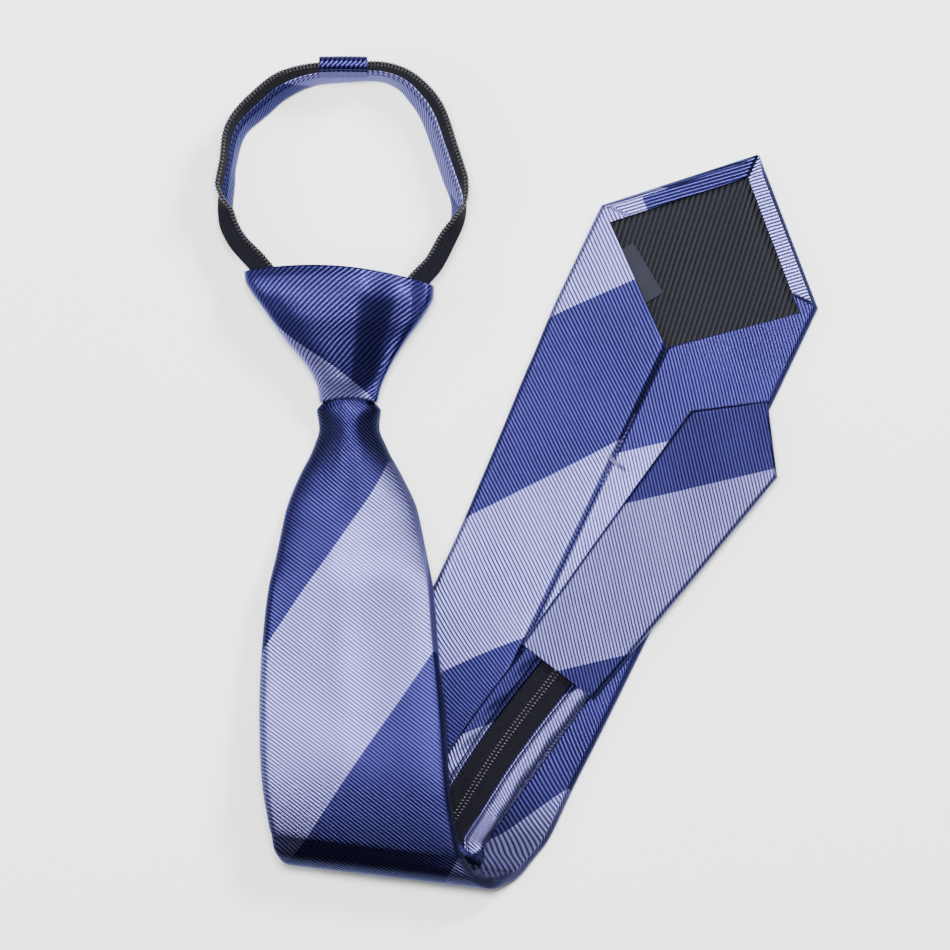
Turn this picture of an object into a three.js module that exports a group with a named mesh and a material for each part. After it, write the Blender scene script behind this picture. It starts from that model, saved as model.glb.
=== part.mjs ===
// A pre-knotted striped necktie with a zip in its neck loop, lying folded on a flat surface.
// The wide blade hangs from the knot face up, turns under in a loose bend and runs up again
// to the right with its back showing. The narrow tail turns inside that bend and lies on it.
// Units are millimetres, +Z up. Places are measured from the middle of the knot's lower edge.
import * as THREE from 'three';

// Cloth
const CLOTH = 1.2; // one folded layer of cloth
const POCKET = 1.8; // room between the face of the wide blade and its two flaps
const CLEARANCE = 0.3; // gap kept between two pieces
const SEAM_GAP = 0.4; // gap where the two flaps meet on the back

// Wide blade
const BLADE_WIDTH = 80; // across the corners of the point
const HANG_LENGTH = 159; // knot to the bend
const REAR_LENGTH = 249; // bend to the tip of the point
const REAR_TURN = 25.5; // degrees that the rear part leans to the right
const FOLD_TURN = 6.9; // degrees that the bend's line falls to the right
const POINT_DEPTH = 38; // corners of the point to its tip
const MOUTH_DEPTH = 71.6; // tip to where the flaps meet
const HEM_WIDTH = 6.5;
const FOLD_SLACK = 2.4; // air between the turned tail and the blade over it
const EDGE_DROOP = 3; // how far the edges of the front part hang below its middle

// Tipping and label inside the point
const TIPPING = 1.2;
const TIPPING_LENGTH = 96;
const TIPPING_WIDTH = 76;
const LABEL_LENGTH = 19.5;
const LABEL_WIDTH = 4.4;
const LABEL_THICKNESS = 0.6;

// Tail: closed zip between two bands of cloth, and a small pointed blade
const BAND_WIDTH = 7.2;
const BAND_THICKNESS = 2.2;
const TAPE_WIDTH = 4;
const TAPE_THICKNESS = 1;
const COIL_WIDTH = 3.2;
const COIL_THICKNESS = 2;
const BEND_DROP = 6.5; // upper run of the tail over its lower run, at its bend
const TAIL_RUN = 66.5; // bend to the mouth of the tail blade
const TAIL_RUN_LEAN = 34.5; // degrees that the open run of the zip leans to the right
const TAIL_RUN_BOW = 2; // how far that run curves to the left
const TAIL_LEAN = 37.8; // degrees that the tail blade leans to the right
const TAIL_LENGTH = 114; // mouth to tip of the tail blade
const TAIL_WIDTH = 36.5;
const TAIL_POCKET = 0.9;
const STRIP_OVERLAP = 8; // how far the zip reaches into the tail blade

// Knot
const KNOT_HEIGHT = 44;
const KNOT_WIDTH = 64;
const KNOT_DEPTH = 20;
const KNOT_WALL = 1.5;
const KNOT_CROWN = 4.8; // how far the ends of the knot's upper edge lie below its middle
const SLIDER_LENGTH = 11;
const SLIDER_WIDTH = 9;
const SLIDER_THICKNESS = 4.5;

// Neck loop
const LOOP_WIDTH = 84;
const LOOP_HEIGHT = 110;
const NECK_BAND = 9;
const NECK_BAND_THICKNESS = 2.2;
const NECK_TAPE = 4;
const NECK_COIL = 2.2;
const NECK_GAP = 0.4; // where the halves meet at the back of the neck
const KEEPER_LENGTH = 16;
const COIL_SIDES = 6;

const BLADE_THICKNESS = 2 * CLOTH + POCKET;
const TAIL_THICKNESS = 2 * CLOTH + TAIL_POCKET;
const STRIP_WIDTH = 2 * (BAND_WIDTH + TAPE_WIDTH + 2 * CLEARANCE) + COIL_WIDTH;
const TAIL_MOUTH = STRIP_WIDTH + 2 * (CLOTH + 2 * CLEARANCE);
const ON_REAR = BLADE_THICKNESS + CLEARANCE;
const ON_KNOT_WALL = KNOT_WALL + CLEARANCE;

const UP = new THREE.Vector3(0, 0, 1);
const ALONG = new THREE.Vector3(0, 1, 0);
const tie = new THREE.Group();

const radians = (degrees) => THREE.MathUtils.degToRad(degrees);
const mix = THREE.MathUtils.lerp;
const headed = (lean) => new THREE.Vector3(Math.sin(radians(lean)), Math.cos(radians(lean)), 0);
const across = (turn) => new THREE.Vector3(Math.cos(radians(turn)), -Math.sin(radians(turn)), 0);

// Rows of a table, joined by smooth curves that never pass beyond their rows
function smoothRows(rows, steps) {
  const tangent = (before, after) => (before * after > 0 ? (2 * before * after) / (before + after) : 0);
  const smooth = [];
  for (let k = 0; k <= (rows.length - 1) * steps; k += 1) {
    const i = Math.min(Math.floor(k / steps), rows.length - 2);
    const f = k / steps - i;
    const row = {};
    for (const column of Object.keys(rows[0])) {
      const slope = (j) => rows[j + 1][column] - rows[j][column];
      const here = slope(i);
      const start = i > 0 ? tangent(slope(i - 1), here) : here;
      const end = i < rows.length - 2 ? tangent(here, slope(i + 1)) : here;
      row[column] = rows[i][column] * (1 + 2 * f) * (1 - f) ** 2 + start * f * (1 - f) ** 2
        + rows[i + 1][column] * (3 - 2 * f) * f ** 2 + end * (f - 1) * f ** 2;
    }
    smooth.push(row);
  }
  return smooth;
}

function bodyOf(points, triangles) {
  const geometry = new THREE.BufferGeometry();
  geometry.setAttribute('position', new THREE.Float32BufferAttribute(points.flatMap((p) => p.toArray()), 3));
  let volume = 0;
  for (const [a, b, c] of triangles) {
    volume += points[a].dot(new THREE.Vector3().crossVectors(points[b], points[c]));
  }
  geometry.setIndex(triangles.flatMap(([a, b, c]) => (volume > 0 ? [a, b, c] : [a, c, b])));
  return geometry;
}

// A solid whose sections lie on stations: each has a middle, two axes and an outline.
// cap gives the triangles of its end faces, for an outline with points on straight lines.
function loft(stations, cap) {
  const count = stations[0].outline.length;
  const points = [];
  for (const { middle, side, normal, outline } of stations) {
    for (const [u, v] of outline) {
      points.push(middle.clone().addScaledVector(side, u).addScaledVector(normal, v));
    }
  }
  const triangles = [];
  for (let i = 0; i + 1 < stations.length; i += 1) {
    for (let j = 0; j < count; j += 1) {
      const a = i * count + j;
      const b = i * count + ((j + 1) % count);
      triangles.push([a, b, b + count], [a, b + count, a + count]);
    }
  }
  for (const end of [0, stations.length - 1]) {
    const flat = stations[end].outline.map(([u, v]) => new THREE.Vector2(u, v));
    const turnsLeft = THREE.ShapeUtils.area(flat) > 0;
    for (const face of cap ?? THREE.ShapeUtils.triangulateShape(flat, [])) {
      const sameTurn = (THREE.ShapeUtils.area(face.map((j) => flat[j])) > 0) === turnsLeft;
      const [a, b, c] = face.map((j) => end * count + j);
      triangles.push((end > 0) === sameTurn ? [a, b, c] : [a, c, b]);
    }
  }
  return bodyOf(points, triangles);
}

// A sleeve that is open at both ends: an outer and an inner outline on each station.
// crown: how far the sides of the station lie behind its middle.
function sleeve(stations) {
  const count = stations[0].outer.length;
  const points = [];
  for (const { middle, side, normal, outer, inner, crown } of stations) {
    for (const [u, v] of [...outer, ...inner]) {
      const back = -crown * (u / outer[0][0]) ** 2;
      points.push(middle.clone().addScaledVector(side, u).addScaledVector(normal, v)
        .addScaledVector(ALONG, back));
    }
  }
  const triangles = [];
  const quad = (a, b, c, d) => triangles.push([a, b, c], [a, c, d]);
  const last = (stations.length - 1) * 2 * count;
  for (let j = 0; j < count; j += 1) {
    const k = (j + 1) % count;
    for (let base = 0; base < last; base += 2 * count) {
      const next = base + 2 * count;
      quad(base + j, base + k, next + k, next + j);
      quad(base + count + k, base + count + j, next + count + j, next + count + k);
    }
    quad(k, j, count + j, count + k);
    quad(last + j, last + k, last + count + k, last + count + j);
  }
  return bodyOf(points, triangles);
}

function add(name, geometry, color, roughness, metalness = 0) {
  const material = new THREE.MeshStandardMaterial({ color, roughness, metalness });
  const mesh = new THREE.Mesh(geometry, material);
  mesh.name = name;
  tie.add(mesh);
}

// Section of a folded blade: the face is its upper side, the two flaps turn in below it
const FLAP_SHARES = [0, 0.35, 0.7, 1];
const FACE_SHARES = [-0.75, -0.4, 0, 0.4, 0.75];
const LEAST_WALL_SHARE = 0.4;
const WIDEST_MOUTH = 0.98; // share of the inner width
const FOLD_ROUNDING = 0.35; // share of the thickness

function foldedOutline({ half, open, thickness, droop }) {
  const inside = Math.max(half - CLOTH, half * LEAST_WALL_SHARE);
  const round = Math.min(thickness * FOLD_ROUNDING, half * FOLD_ROUNDING);
  const mouth = Math.min(Math.max(open, SEAM_GAP / 2), inside * WIDEST_MOUTH);
  const slit = Math.min(mouth, inside / 2);
  const lip = open > SEAM_GAP / 2 ? mouth : slit;
  const outer = half - round;
  const points = [];
  for (const f of FLAP_SHARES) points.push([-mix(lip, outer, f), -thickness]);
  points.push([-half, round - thickness], [-half, -round], [-outer, 0]);
  for (const f of FACE_SHARES) points.push([outer * f, 0]);
  points.push([outer, 0], [half, -round], [half, round - thickness]);
  for (const f of [...FLAP_SHARES].reverse()) points.push([mix(lip, outer, f), -thickness]);
  for (const f of FLAP_SHARES) points.push([mix(lip, inside, f), CLOTH - thickness]);
  points.push([inside, -CLOTH]);
  for (const f of [...FACE_SHARES].reverse()) points.push([inside * f, -CLOTH]);
  points.push([-inside, -CLOTH]);
  for (const f of [...FLAP_SHARES].reverse()) points.push([-mix(lip, inside, f), CLOTH - thickness]);
  return points.map(([u, v]) => [u, v - droop * (u / half) ** 4]);
}

// End faces of a folded blade: each point of its outer side is joined to one of its inner side,
// and each rounded edge has two points more than the inner corner beside it
const FOLDED_CAP = (() => {
  const corner = FLAP_SHARES.length;
  const farCorner = corner + FACE_SHARES.length + 4;
  const extras = new Set([corner, corner + 2, farCorner, farCorner + 2]);
  const last = farCorner + 1 + corner;
  const faces = [];
  let inner = 2 * last + 1 - extras.size;
  for (let j = 1; j <= last; j += 1) {
    const next = extras.has(j) ? inner : inner - 1;
    faces.push([j - 1, j, next]);
    if (next !== inner) faces.push([j - 1, next, inner]);
    inner = next;
  }
  return faces;
})();

// How the front blade and the hidden run of the tail lie, from the knot down to the bend.
// down: share of the hang. inKnot: 1 on the knot's back wall. onRear: 1 on the rear blade.
// spread: share of the tail's bend. slack: share of the air under the front blade.
const LAY_ROWS = [
  { down: -0.09, inKnot: 1, onRear: 0, spread: 0, slack: 0.05 },
  { down: -0.01, inKnot: 1, onRear: 0, spread: 0, slack: 0.05 },
  { down: 0.025, inKnot: 0.9, onRear: 0, spread: 0, slack: 0.2 },
  { down: 0.065, inKnot: 0.3, onRear: 0, spread: 0, slack: 0.35 },
  { down: 0.11, inKnot: 0, onRear: 0, spread: 0, slack: 0.35 },
  { down: 0.16, inKnot: 0, onRear: 0, spread: 0, slack: 0.35 },
  { down: 0.23, inKnot: 0, onRear: 0.1, spread: 0, slack: 0.3 },
  { down: 0.31, inKnot: 0, onRear: 0.5, spread: 0, slack: 0.3 },
  { down: 0.39, inKnot: 0, onRear: 1, spread: 0.02, slack: 0.35 },
  { down: 0.5, inKnot: 0, onRear: 1, spread: 0.12, slack: 0.45 },
  { down: 0.66, inKnot: 0, onRear: 1, spread: 0.45, slack: 0.7 },
  { down: 0.81, inKnot: 0, onRear: 1, spread: 0.85, slack: 0.95 },
  { down: 0.93, inKnot: 0, onRear: 1, spread: 1, slack: 1 },
];

// Middle and half width of the front blade at the rows above, as shares of BLADE_WIDTH
const FRONT_ROWS = [
  { shift: 0, half: 0.088, turn: 0, droop: 0.1 },
  { shift: 0, half: 0.09, turn: 0, droop: 0.1 },
  { shift: 0, half: 0.134, turn: 0, droop: 0.5 },
  { shift: 0.002, half: 0.126, turn: 0, droop: 0.6 },
  { shift: 0.006, half: 0.16, turn: 0, droop: 0.6 },
  { shift: 0.008, half: 0.213, turn: 0, droop: 0.6 },
  { shift: 0.012, half: 0.274, turn: 0, droop: 0.5 },
  { shift: 0.012, half: 0.309, turn: 0, droop: 0.5 },
  { shift: 0.009, half: 0.342, turn: 0, droop: 0.6 },
  { shift: 0.006, half: 0.364, turn: 0.1, droop: 0.8 },
  { shift: 0.016, half: 0.387, turn: 0.3, droop: 1 },
  { shift: 0.032, half: 0.394, turn: 0.65, droop: 1 },
  { shift: 0.07, half: 0.398, turn: 0.95, droop: 0.6 },
];

function tailUnder({ inKnot, onRear, spread }) {
  return inKnot * ON_KNOT_WALL + onRear * ON_REAR + spread * BEND_DROP;
}

function frontFace(row) {
  return tailUnder(row) + BAND_THICKNESS + CLEARANCE + row.slack * FOLD_SLACK + BLADE_THICKNESS;
}

// The loose bend: down and rise are shares of the hang and of the front face's height
const BEND_ROWS = [
  { shift: 0.115, down: 0.981, rise: 0.8, turn: 1, half: 0.425, droop: 0.2 },
  { shift: 0.172, down: 1, rise: 0.49, turn: 1, half: 0.444, droop: 0 },
  { shift: 0.247, down: 0.98, rise: 0.15, turn: 1, half: 0.456, droop: 0 },
  { shift: 0.314, down: 0.935, rise: 0.015, turn: 1, half: 0.462, droop: 0 },
  { shift: 0.367, down: 0.9, rise: 0, turn: 1, half: 0.463, droop: 0 },
];

// The rear blade up to the point's corners: back is the distance to the tip as a share
const REAR_ROWS = [
  { back: 0.89, half: 0.452, turn: 0.3 },
  { back: 0.78, half: 0.448, turn: 0.75 },
  { back: 0.66, half: 0.45, turn: 1 },
  { back: 0.52, half: 0.466, turn: 1 },
  { back: 0.4, half: 0.486, turn: 1 },
];

// Where the open mouth and the point have a section, as shares of their depths
const MOUTH_SHARES = [1.04, 0.94, 0.5, 0.12];
const POINT_SHARES = [1, 0.6, 0.27, 0.22, 0.08, 0.015];

const bendEnd = BEND_ROWS[BEND_ROWS.length - 1];
const rearStart = new THREE.Vector3(bendEnd.shift * BLADE_WIDTH, -bendEnd.down * HANG_LENGTH, 0);
const rearHeading = headed(REAR_TURN);
const rearSide = across(REAR_TURN);
const rearTip = rearStart.clone().addScaledVector(rearHeading, REAR_LENGTH);

// A point of the rear blade from its distance to the tip and to the middle line
function onRearBlade(back, aside, height) {
  return rearTip.clone().addScaledVector(rearHeading, -back).addScaledVector(rearSide, aside)
    .addScaledVector(UP, height);
}

function pointHalf(back) {
  return Math.min(back / POINT_DEPTH, 1) * (BLADE_WIDTH / 2);
}

// Half of the open mouth between the hems and the flaps, at a distance to the tip
function mouthHalf(back) {
  const hems = (back / POINT_DEPTH) * (BLADE_WIDTH / 2) - HEM_WIDTH * Math.SQRT2;
  const flaps = ((MOUTH_DEPTH - back) / (MOUTH_DEPTH - POINT_DEPTH)) * (BLADE_WIDTH / 2);
  return Math.min(hems, flaps);
}

function bladeStations() {
  const front = smoothRows(LAY_ROWS.map((row, i) => ({
    x: FRONT_ROWS[i].shift * BLADE_WIDTH,
    y: -row.down * HANG_LENGTH,
    z: frontFace(row),
    half: FRONT_ROWS[i].half * BLADE_WIDTH,
    turn: FRONT_ROWS[i].turn * FOLD_TURN,
    droop: FRONT_ROWS[i].droop * EDGE_DROOP,
    open: 0,
  })), 2);
  const top = front[front.length - 1];
  const bend = BEND_ROWS.map((row) => ({
    x: row.shift * BLADE_WIDTH,
    y: -row.down * HANG_LENGTH,
    z: row.rise * top.z,
    half: row.half * BLADE_WIDTH,
    turn: row.turn * FOLD_TURN,
    droop: row.droop * EDGE_DROOP,
    open: 0,
  }));
  const rear = REAR_ROWS.map((row) => {
    const { x, y } = onRearBlade(row.back * REAR_LENGTH, 0, 0);
    const turn = mix(FOLD_TURN, REAR_TURN, row.turn);
    return { x, y, z: 0, half: row.half * BLADE_WIDTH, turn, droop: 0, open: 0 };
  });
  const backs = [
    ...MOUTH_SHARES.map((share) => mix(POINT_DEPTH, MOUTH_DEPTH, share)),
    ...POINT_SHARES.map((share) => share * POINT_DEPTH),
  ];
  const nearTip = backs.map((back) => {
    const { x, y } = onRearBlade(back, 0, 0);
    return { x, y, z: 0, half: pointHalf(back), turn: REAR_TURN, droop: 0, open: mouthHalf(back) };
  });
  const rows = [...smoothRows([top, ...bend, ...rear], 2).slice(1), ...nearTip];
  return [...front, ...rows];
}

function blade() {
  const rows = bladeStations();
  const at = (i) => new THREE.Vector3(rows[i].x, rows[i].y, rows[i].z);
  return loft(rows.map((row, i) => {
    const heading = at(Math.min(i + 1, rows.length - 1)).sub(at(Math.max(i - 1, 0)));
    const side = across(row.turn);
    const normal = new THREE.Vector3().crossVectors(heading, side).normalize();
    return { middle: at(i), side, normal, outline: foldedOutline({ ...row, thickness: BLADE_THICKNESS }) };
  }), FOLDED_CAP);
}

const TIPPING_START = 0.12; // share of the point's depth
const LABEL_PLACE = 0.49; // where it lies along the edge of the mouth, as a share

function tipping() {
  const low = CLOTH + CLEARANCE;
  const start = POINT_DEPTH * TIPPING_START;
  const stations = [];
  for (const back of [start, POINT_DEPTH, MOUTH_DEPTH, TIPPING_LENGTH]) {
    const half = Math.min(pointHalf(back), TIPPING_WIDTH / 2) - CLOTH - 2 * CLEARANCE;
    stations.push({
      middle: onRearBlade(back, 0, low),
      side: rearSide,
      normal: UP,
      outline: [[-half, 0], [half, 0], [half, TIPPING], [-half, TIPPING]],
    });
  }
  return loft(stations);
}

function label() {
  const height = CLOTH + TIPPING + 2 * CLEARANCE;
  const mouthRun = new THREE.Vector2(MOUTH_DEPTH - POINT_DEPTH, BLADE_WIDTH / 2).normalize();
  const back = mix(POINT_DEPTH, MOUTH_DEPTH, LABEL_PLACE);
  const off = 2 * CLEARANCE + LABEL_WIDTH / 2;
  const middle = onRearBlade(
    back - off * mouthRun.y,
    off * mouthRun.x - mouthHalf(back),
    height + LABEL_THICKNESS / 2,
  );
  const geometry = new THREE.BoxGeometry(LABEL_WIDTH, LABEL_LENGTH, LABEL_THICKNESS);
  const edge = rearHeading.clone().multiplyScalar(-mouthRun.x).addScaledVector(rearSide, mouthRun.y);
  const beside = new THREE.Vector3().crossVectors(edge, UP);
  geometry.applyMatrix4(new THREE.Matrix4().makeBasis(beside, edge, UP).setPosition(middle));
  return geometry;
}

// Middle line of the tail's zip: the hidden run, its bend and the run that shows.
// shift: share of BLADE_WIDTH. gather: share of the full width.
const HIDDEN_ROWS = [
  { shift: 0, gather: 0.5 },
  { shift: 0, gather: 0.5 },
  { shift: 0, gather: 0.52 },
  { shift: 0.002, gather: 0.58 },
  { shift: 0.005, gather: 0.68 },
  { shift: 0.01, gather: 0.82 },
  { shift: 0.018, gather: 1 },
  { shift: 0.03, gather: 1 },
  { shift: 0.04, gather: 1 },
  { shift: 0.06, gather: 1 },
  { shift: 0.1, gather: 1 },
  { shift: 0.18, gather: 1 },
  { shift: 0.335, gather: 1 },
];
const TAIL_BEND_TURN = 12.6;
const TAIL_BEND_ROWS = [
  { shift: 0.375, down: 0.944, drop: 0.15 },
  { shift: 0.395, down: 0.95, drop: 0.5 },
  { shift: 0.4, down: 0.94, drop: 0.86 },
  { shift: 0.398, down: 0.915, drop: 1 },
];
// The run that shows: share of its length, and of the turn from the bend to the tail blade
const SHOWN_ROWS = [
  { share: 0.2, turned: 0.44 },
  { share: 0.45, turned: 0.99 },
  { share: 0.72, turned: 1 },
  { share: 1, turned: 1 },
];

const tailHeading = headed(TAIL_LEAN);
const tailSide = across(TAIL_LEAN);
const tailBendEnd = TAIL_BEND_ROWS[TAIL_BEND_ROWS.length - 1];
const tailMouth = new THREE.Vector3(tailBendEnd.shift * BLADE_WIDTH, -tailBendEnd.down * HANG_LENGTH, 0)
  .addScaledVector(headed(TAIL_RUN_LEAN), TAIL_RUN);

function stripRows() {
  const middle = BAND_THICKNESS / 2;
  const hidden = LAY_ROWS.map((row, i) => ({
    x: HIDDEN_ROWS[i].shift * BLADE_WIDTH,
    y: -row.down * HANG_LENGTH,
    z: tailUnder(row) + middle,
    turn: Math.max(0, row.spread) ** 2 * TAIL_BEND_TURN,
    gather: HIDDEN_ROWS[i].gather,
  }));
  const low = ON_REAR + middle;
  const bend = TAIL_BEND_ROWS.map((row) => ({
    x: row.shift * BLADE_WIDTH,
    y: -row.down * HANG_LENGTH,
    z: low + (1 - row.drop) * BEND_DROP,
    turn: TAIL_BEND_TURN,
    gather: 1,
  }));
  const from = bend[bend.length - 1];
  const shown = SHOWN_ROWS.map(({ share, turned }) => ({
    x: mix(from.x, tailMouth.x, share) - TAIL_RUN_BOW * Math.sin(Math.PI * share),
    y: mix(from.y, tailMouth.y, share),
    z: low,
    turn: mix(TAIL_BEND_TURN, TAIL_LEAN, turned),
    gather: 1,
  }));
  const end = tailMouth.clone().addScaledVector(tailHeading, STRIP_OVERLAP);
  const inside = { x: end.x, y: end.y, z: low, turn: TAIL_LEAN, gather: 1 };
  return smoothRows([...hidden, ...bend, ...shown, inside], 2);
}

// One ribbon of the strip, from its near to its far edge across the strip's middle
function stripRibbon(near, far, thickness, rounded) {
  const rows = stripRows();
  const at = (i) => new THREE.Vector3(rows[i].x, rows[i].y, rows[i].z);
  return loft(rows.map((row, i) => {
    const heading = at(Math.min(i + 1, rows.length - 1)).sub(at(Math.max(i - 1, 0)));
    const side = across(row.turn);
    const normal = new THREE.Vector3().crossVectors(heading, side).normalize();
    const [a, b] = [near * row.gather, far * row.gather];
    const high = thickness / 2;
    const cut = rounded * high * row.gather;
    const outline = rounded > 0
      ? [[a + cut, -high], [b - cut, -high], [b, cut - high], [b, high - cut],
        [b - cut, high], [a + cut, high], [a, high - cut], [a, cut - high]]
      : [[a, -high], [b, -high], [b, high], [a, high]];
    return { middle: at(i), side, normal, outline };
  }));
}

// The tail blade from its mouth to its tip. along: share of its length before the point.
// spread: share of the way from the mouth's width to the full width. The flaps are open
// over the end of the zip and closed beyond it.
const TAIL_ROWS = [
  { along: 0, spread: 0, open: 1 },
  { along: 0.05, spread: 0, open: 1 },
  { along: 0.105, spread: 0.1, open: 1 },
  { along: 0.21, spread: 0.2, open: 0 },
  { along: 0.5, spread: 0.52, open: 0 },
  { along: 1, spread: 1, open: 0 },
];
const TAIL_POINT_SHARES = [0.5, 0.04]; // where the point has a section, from its tip

function tailBlade() {
  const face = ON_REAR + BAND_THICKNESS + CLEARANCE + CLOTH;
  const depth = TAIL_WIDTH / 2;
  const rows = TAIL_ROWS.map(({ along, spread, open }) => ({
    along: along * (TAIL_LENGTH - depth),
    half: mix(TAIL_MOUTH, TAIL_WIDTH, spread) / 2,
    open: open * TAIL_MOUTH,
  }));
  for (const share of TAIL_POINT_SHARES) {
    rows.push({ along: TAIL_LENGTH - share * depth, half: (share * TAIL_WIDTH) / 2, open: 0 });
  }
  return loft(rows.map(({ along, half, open }) => ({
    middle: tailMouth.clone().addScaledVector(tailHeading, along).addScaledVector(UP, face),
    side: tailSide,
    normal: UP,
    outline: foldedOutline({ half, open, thickness: TAIL_THICKNESS, droop: 0 }),
  })), FOLDED_CAP);
}

// The knot's cloth is a flat sleeve that narrows downwards.
// up: share of its height. left, right: shares of its width. deep: share of its depth.
// crown: share of KNOT_CROWN.
const KNOT_ROWS = [
  { up: 0.02, left: 0.152, right: 0.152, deep: 0.6, turn: 0, crown: 0.3 },
  { up: 0.1, left: 0.16, right: 0.166, deep: 0.64, turn: 0, crown: 0.25 },
  { up: 0.25, left: 0.213, right: 0.214, deep: 0.74, turn: 0.5, crown: 0.15 },
  { up: 0.45, left: 0.336, right: 0.295, deep: 0.86, turn: 2, crown: 0.12 },
  { up: 0.64, left: 0.43, right: 0.372, deep: 0.96, turn: 4, crown: 0.3 },
  { up: 0.8, left: 0.505, right: 0.425, deep: 1, turn: 5.2, crown: 0.6 },
  { up: 0.9, left: 0.538, right: 0.445, deep: 0.98, turn: 5.8, crown: 0.85 },
  { up: 0.98, left: 0.545, right: 0.447, deep: 0.93, turn: 5.8, crown: 1 },
];
const KNOT_SIDES = 28;
const FRONT_ROUNDNESS = 3.2;
const BACK_ROUNDNESS = 6;

function knotOutline(left, right, low, high) {
  const outline = [];
  for (let j = 0; j < KNOT_SIDES; j += 1) {
    const angle = (2 * Math.PI * (j + 0.5)) / KNOT_SIDES;
    const power = 2 / (Math.sin(angle) > 0 ? FRONT_ROUNDNESS : BACK_ROUNDNESS);
    const bent = (value) => Math.sign(value) * Math.abs(value) ** power;
    outline.push([
      mix(-left, right, (1 + bent(Math.cos(angle))) / 2),
      mix(low, high, (1 + bent(Math.sin(angle))) / 2),
    ]);
  }
  return outline;
}

function knotWrap() {
  return sleeve(smoothRows(KNOT_ROWS, 2).map(({ up, left, right, deep, turn, crown }) => {
    const [l, r, d] = [left * KNOT_WIDTH, right * KNOT_WIDTH, deep * KNOT_DEPTH];
    return {
      middle: new THREE.Vector3(0, up * KNOT_HEIGHT, 0),
      side: across(turn),
      normal: UP,
      outer: knotOutline(l, r, 0, d),
      inner: knotOutline(l - KNOT_WALL, r - KNOT_WALL, KNOT_WALL, d - KNOT_WALL),
      crown: crown * KNOT_CROWN,
    };
  }));
}

function zipSlider() {
  const geometry = new THREE.BoxGeometry(SLIDER_WIDTH, SLIDER_LENGTH, SLIDER_THICKNESS);
  const foot = -LAY_ROWS[0].down * HANG_LENGTH + CLEARANCE;
  geometry.translate(0, foot + SLIDER_LENGTH / 2, ON_KNOT_WALL + SLIDER_THICKNESS / 2);
  return geometry;
}

// Each half of the neck loop, from the knot to the back of the neck: the foot of its band,
// as shares of the loop's width and height, and the leans of band and tape in degrees,
// where 90 stands upright and less leans outwards. lift: share of the height in the knot.
const NECK_MEET = -0.02;
const LEFT_ROWS = [
  { x: -0.15, y: 0.255, lift: 1, band: 90, tape: 172 },
  { x: -0.245, y: 0.295, lift: 1, band: 90, tape: 172 },
  { x: -0.32, y: 0.34, lift: 1, band: 90, tape: 172 },
  { x: -0.38, y: 0.392, lift: 0.7, band: 90, tape: 170 },
  { x: -0.455, y: 0.459, lift: 0.3, band: 90, tape: 168 },
  { x: -0.492, y: 0.52, lift: 0, band: 88, tape: 164 },
  { x: -0.49, y: 0.566, lift: 0, band: 82, tape: 150 },
  { x: -0.478, y: 0.605, lift: 0, band: 77, tape: 112 },
  { x: -0.463, y: 0.65, lift: 0, band: 75, tape: 76 },
  { x: -0.452, y: 0.709, lift: 0, band: 73, tape: 74 },
  { x: -0.414, y: 0.8, lift: 0, band: 66, tape: 66 },
  { x: -0.329, y: 0.86, lift: 0, band: 59, tape: 60 },
  { x: -0.246, y: 0.914, lift: 0, band: 60, tape: 60 },
  { x: -0.138, y: 0.953, lift: 0, band: 67, tape: 67 },
  { x: NECK_MEET, y: 0.964, lift: 0, band: 73, tape: 73 },
];
const RIGHT_ROWS = [
  { x: 0.11, y: 0.2, lift: 1, band: 90, tape: 172 },
  { x: 0.19, y: 0.235, lift: 1, band: 90, tape: 172 },
  { x: 0.245, y: 0.28, lift: 1, band: 90, tape: 172 },
  { x: 0.291, y: 0.333, lift: 0.8, band: 90, tape: 170 },
  { x: 0.365, y: 0.4, lift: 0.3, band: 90, tape: 168 },
  { x: 0.408, y: 0.475, lift: 0, band: 88, tape: 164 },
  { x: 0.438, y: 0.545, lift: 0, band: 82, tape: 155 },
  { x: 0.425, y: 0.6, lift: 0, band: 72, tape: 112 },
  { x: 0.375, y: 0.652, lift: 0, band: 63, tape: 68 },
  { x: 0.342, y: 0.74, lift: 0, band: 60, tape: 62 },
  { x: 0.293, y: 0.842, lift: 0, band: 59, tape: 60 },
  { x: 0.245, y: 0.9, lift: 0, band: 61, tape: 62 },
  { x: 0.192, y: 0.948, lift: 0, band: 67, tape: 67 },
  { x: 0.08, y: 0.964, lift: 0, band: 73, tape: 73 },
  { x: NECK_MEET, y: 0.964, lift: 0, band: 73, tape: 73 },
];
const NECK_LIFT = 0.6;

function neckRows(table, hand) {
  return smoothRows(table.map((row) => ({
    ...row,
    x: row.x * LOOP_WIDTH + (row.x === NECK_MEET ? (hand * NECK_GAP) / 2 : 0),
    y: row.y * LOOP_HEIGHT,
    z: row.lift * (ON_KNOT_WALL + NECK_LIFT),
  })), 3);
}

// Frames of one half. hand is -1 for the half on the left and 1 for the one on the right.
function neckStations(table, hand, outlineAt) {
  const rows = neckRows(table, hand);
  const at = (i) => new THREE.Vector3(rows[i].x, rows[i].y, 0);
  return rows.map((row, i) => {
    const heading = at(Math.min(i + 1, rows.length - 1)).sub(at(Math.max(i - 1, 0))).normalize();
    const outward = new THREE.Vector3(heading.y, -heading.x, 0).multiplyScalar(hand);
    return { middle: at(i).addScaledVector(UP, row.z), side: outward, normal: UP, outline: outlineAt(row) };
  });
}

const leaned = (lean) => new THREE.Vector2(Math.cos(radians(lean)), Math.sin(radians(lean)));

// A flat bar in the section, from one distance to another along a direction
function bar(start, lean, from, to, thickness) {
  const along = leaned(lean);
  const beside = leaned(lean + 90).multiplyScalar(thickness / 2);
  const a = start.clone().addScaledVector(along, from);
  const b = start.clone().addScaledVector(along, to);
  return [a.clone().sub(beside), b.clone().sub(beside), b.add(beside), a.add(beside)].map((p) => p.toArray());
}

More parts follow.
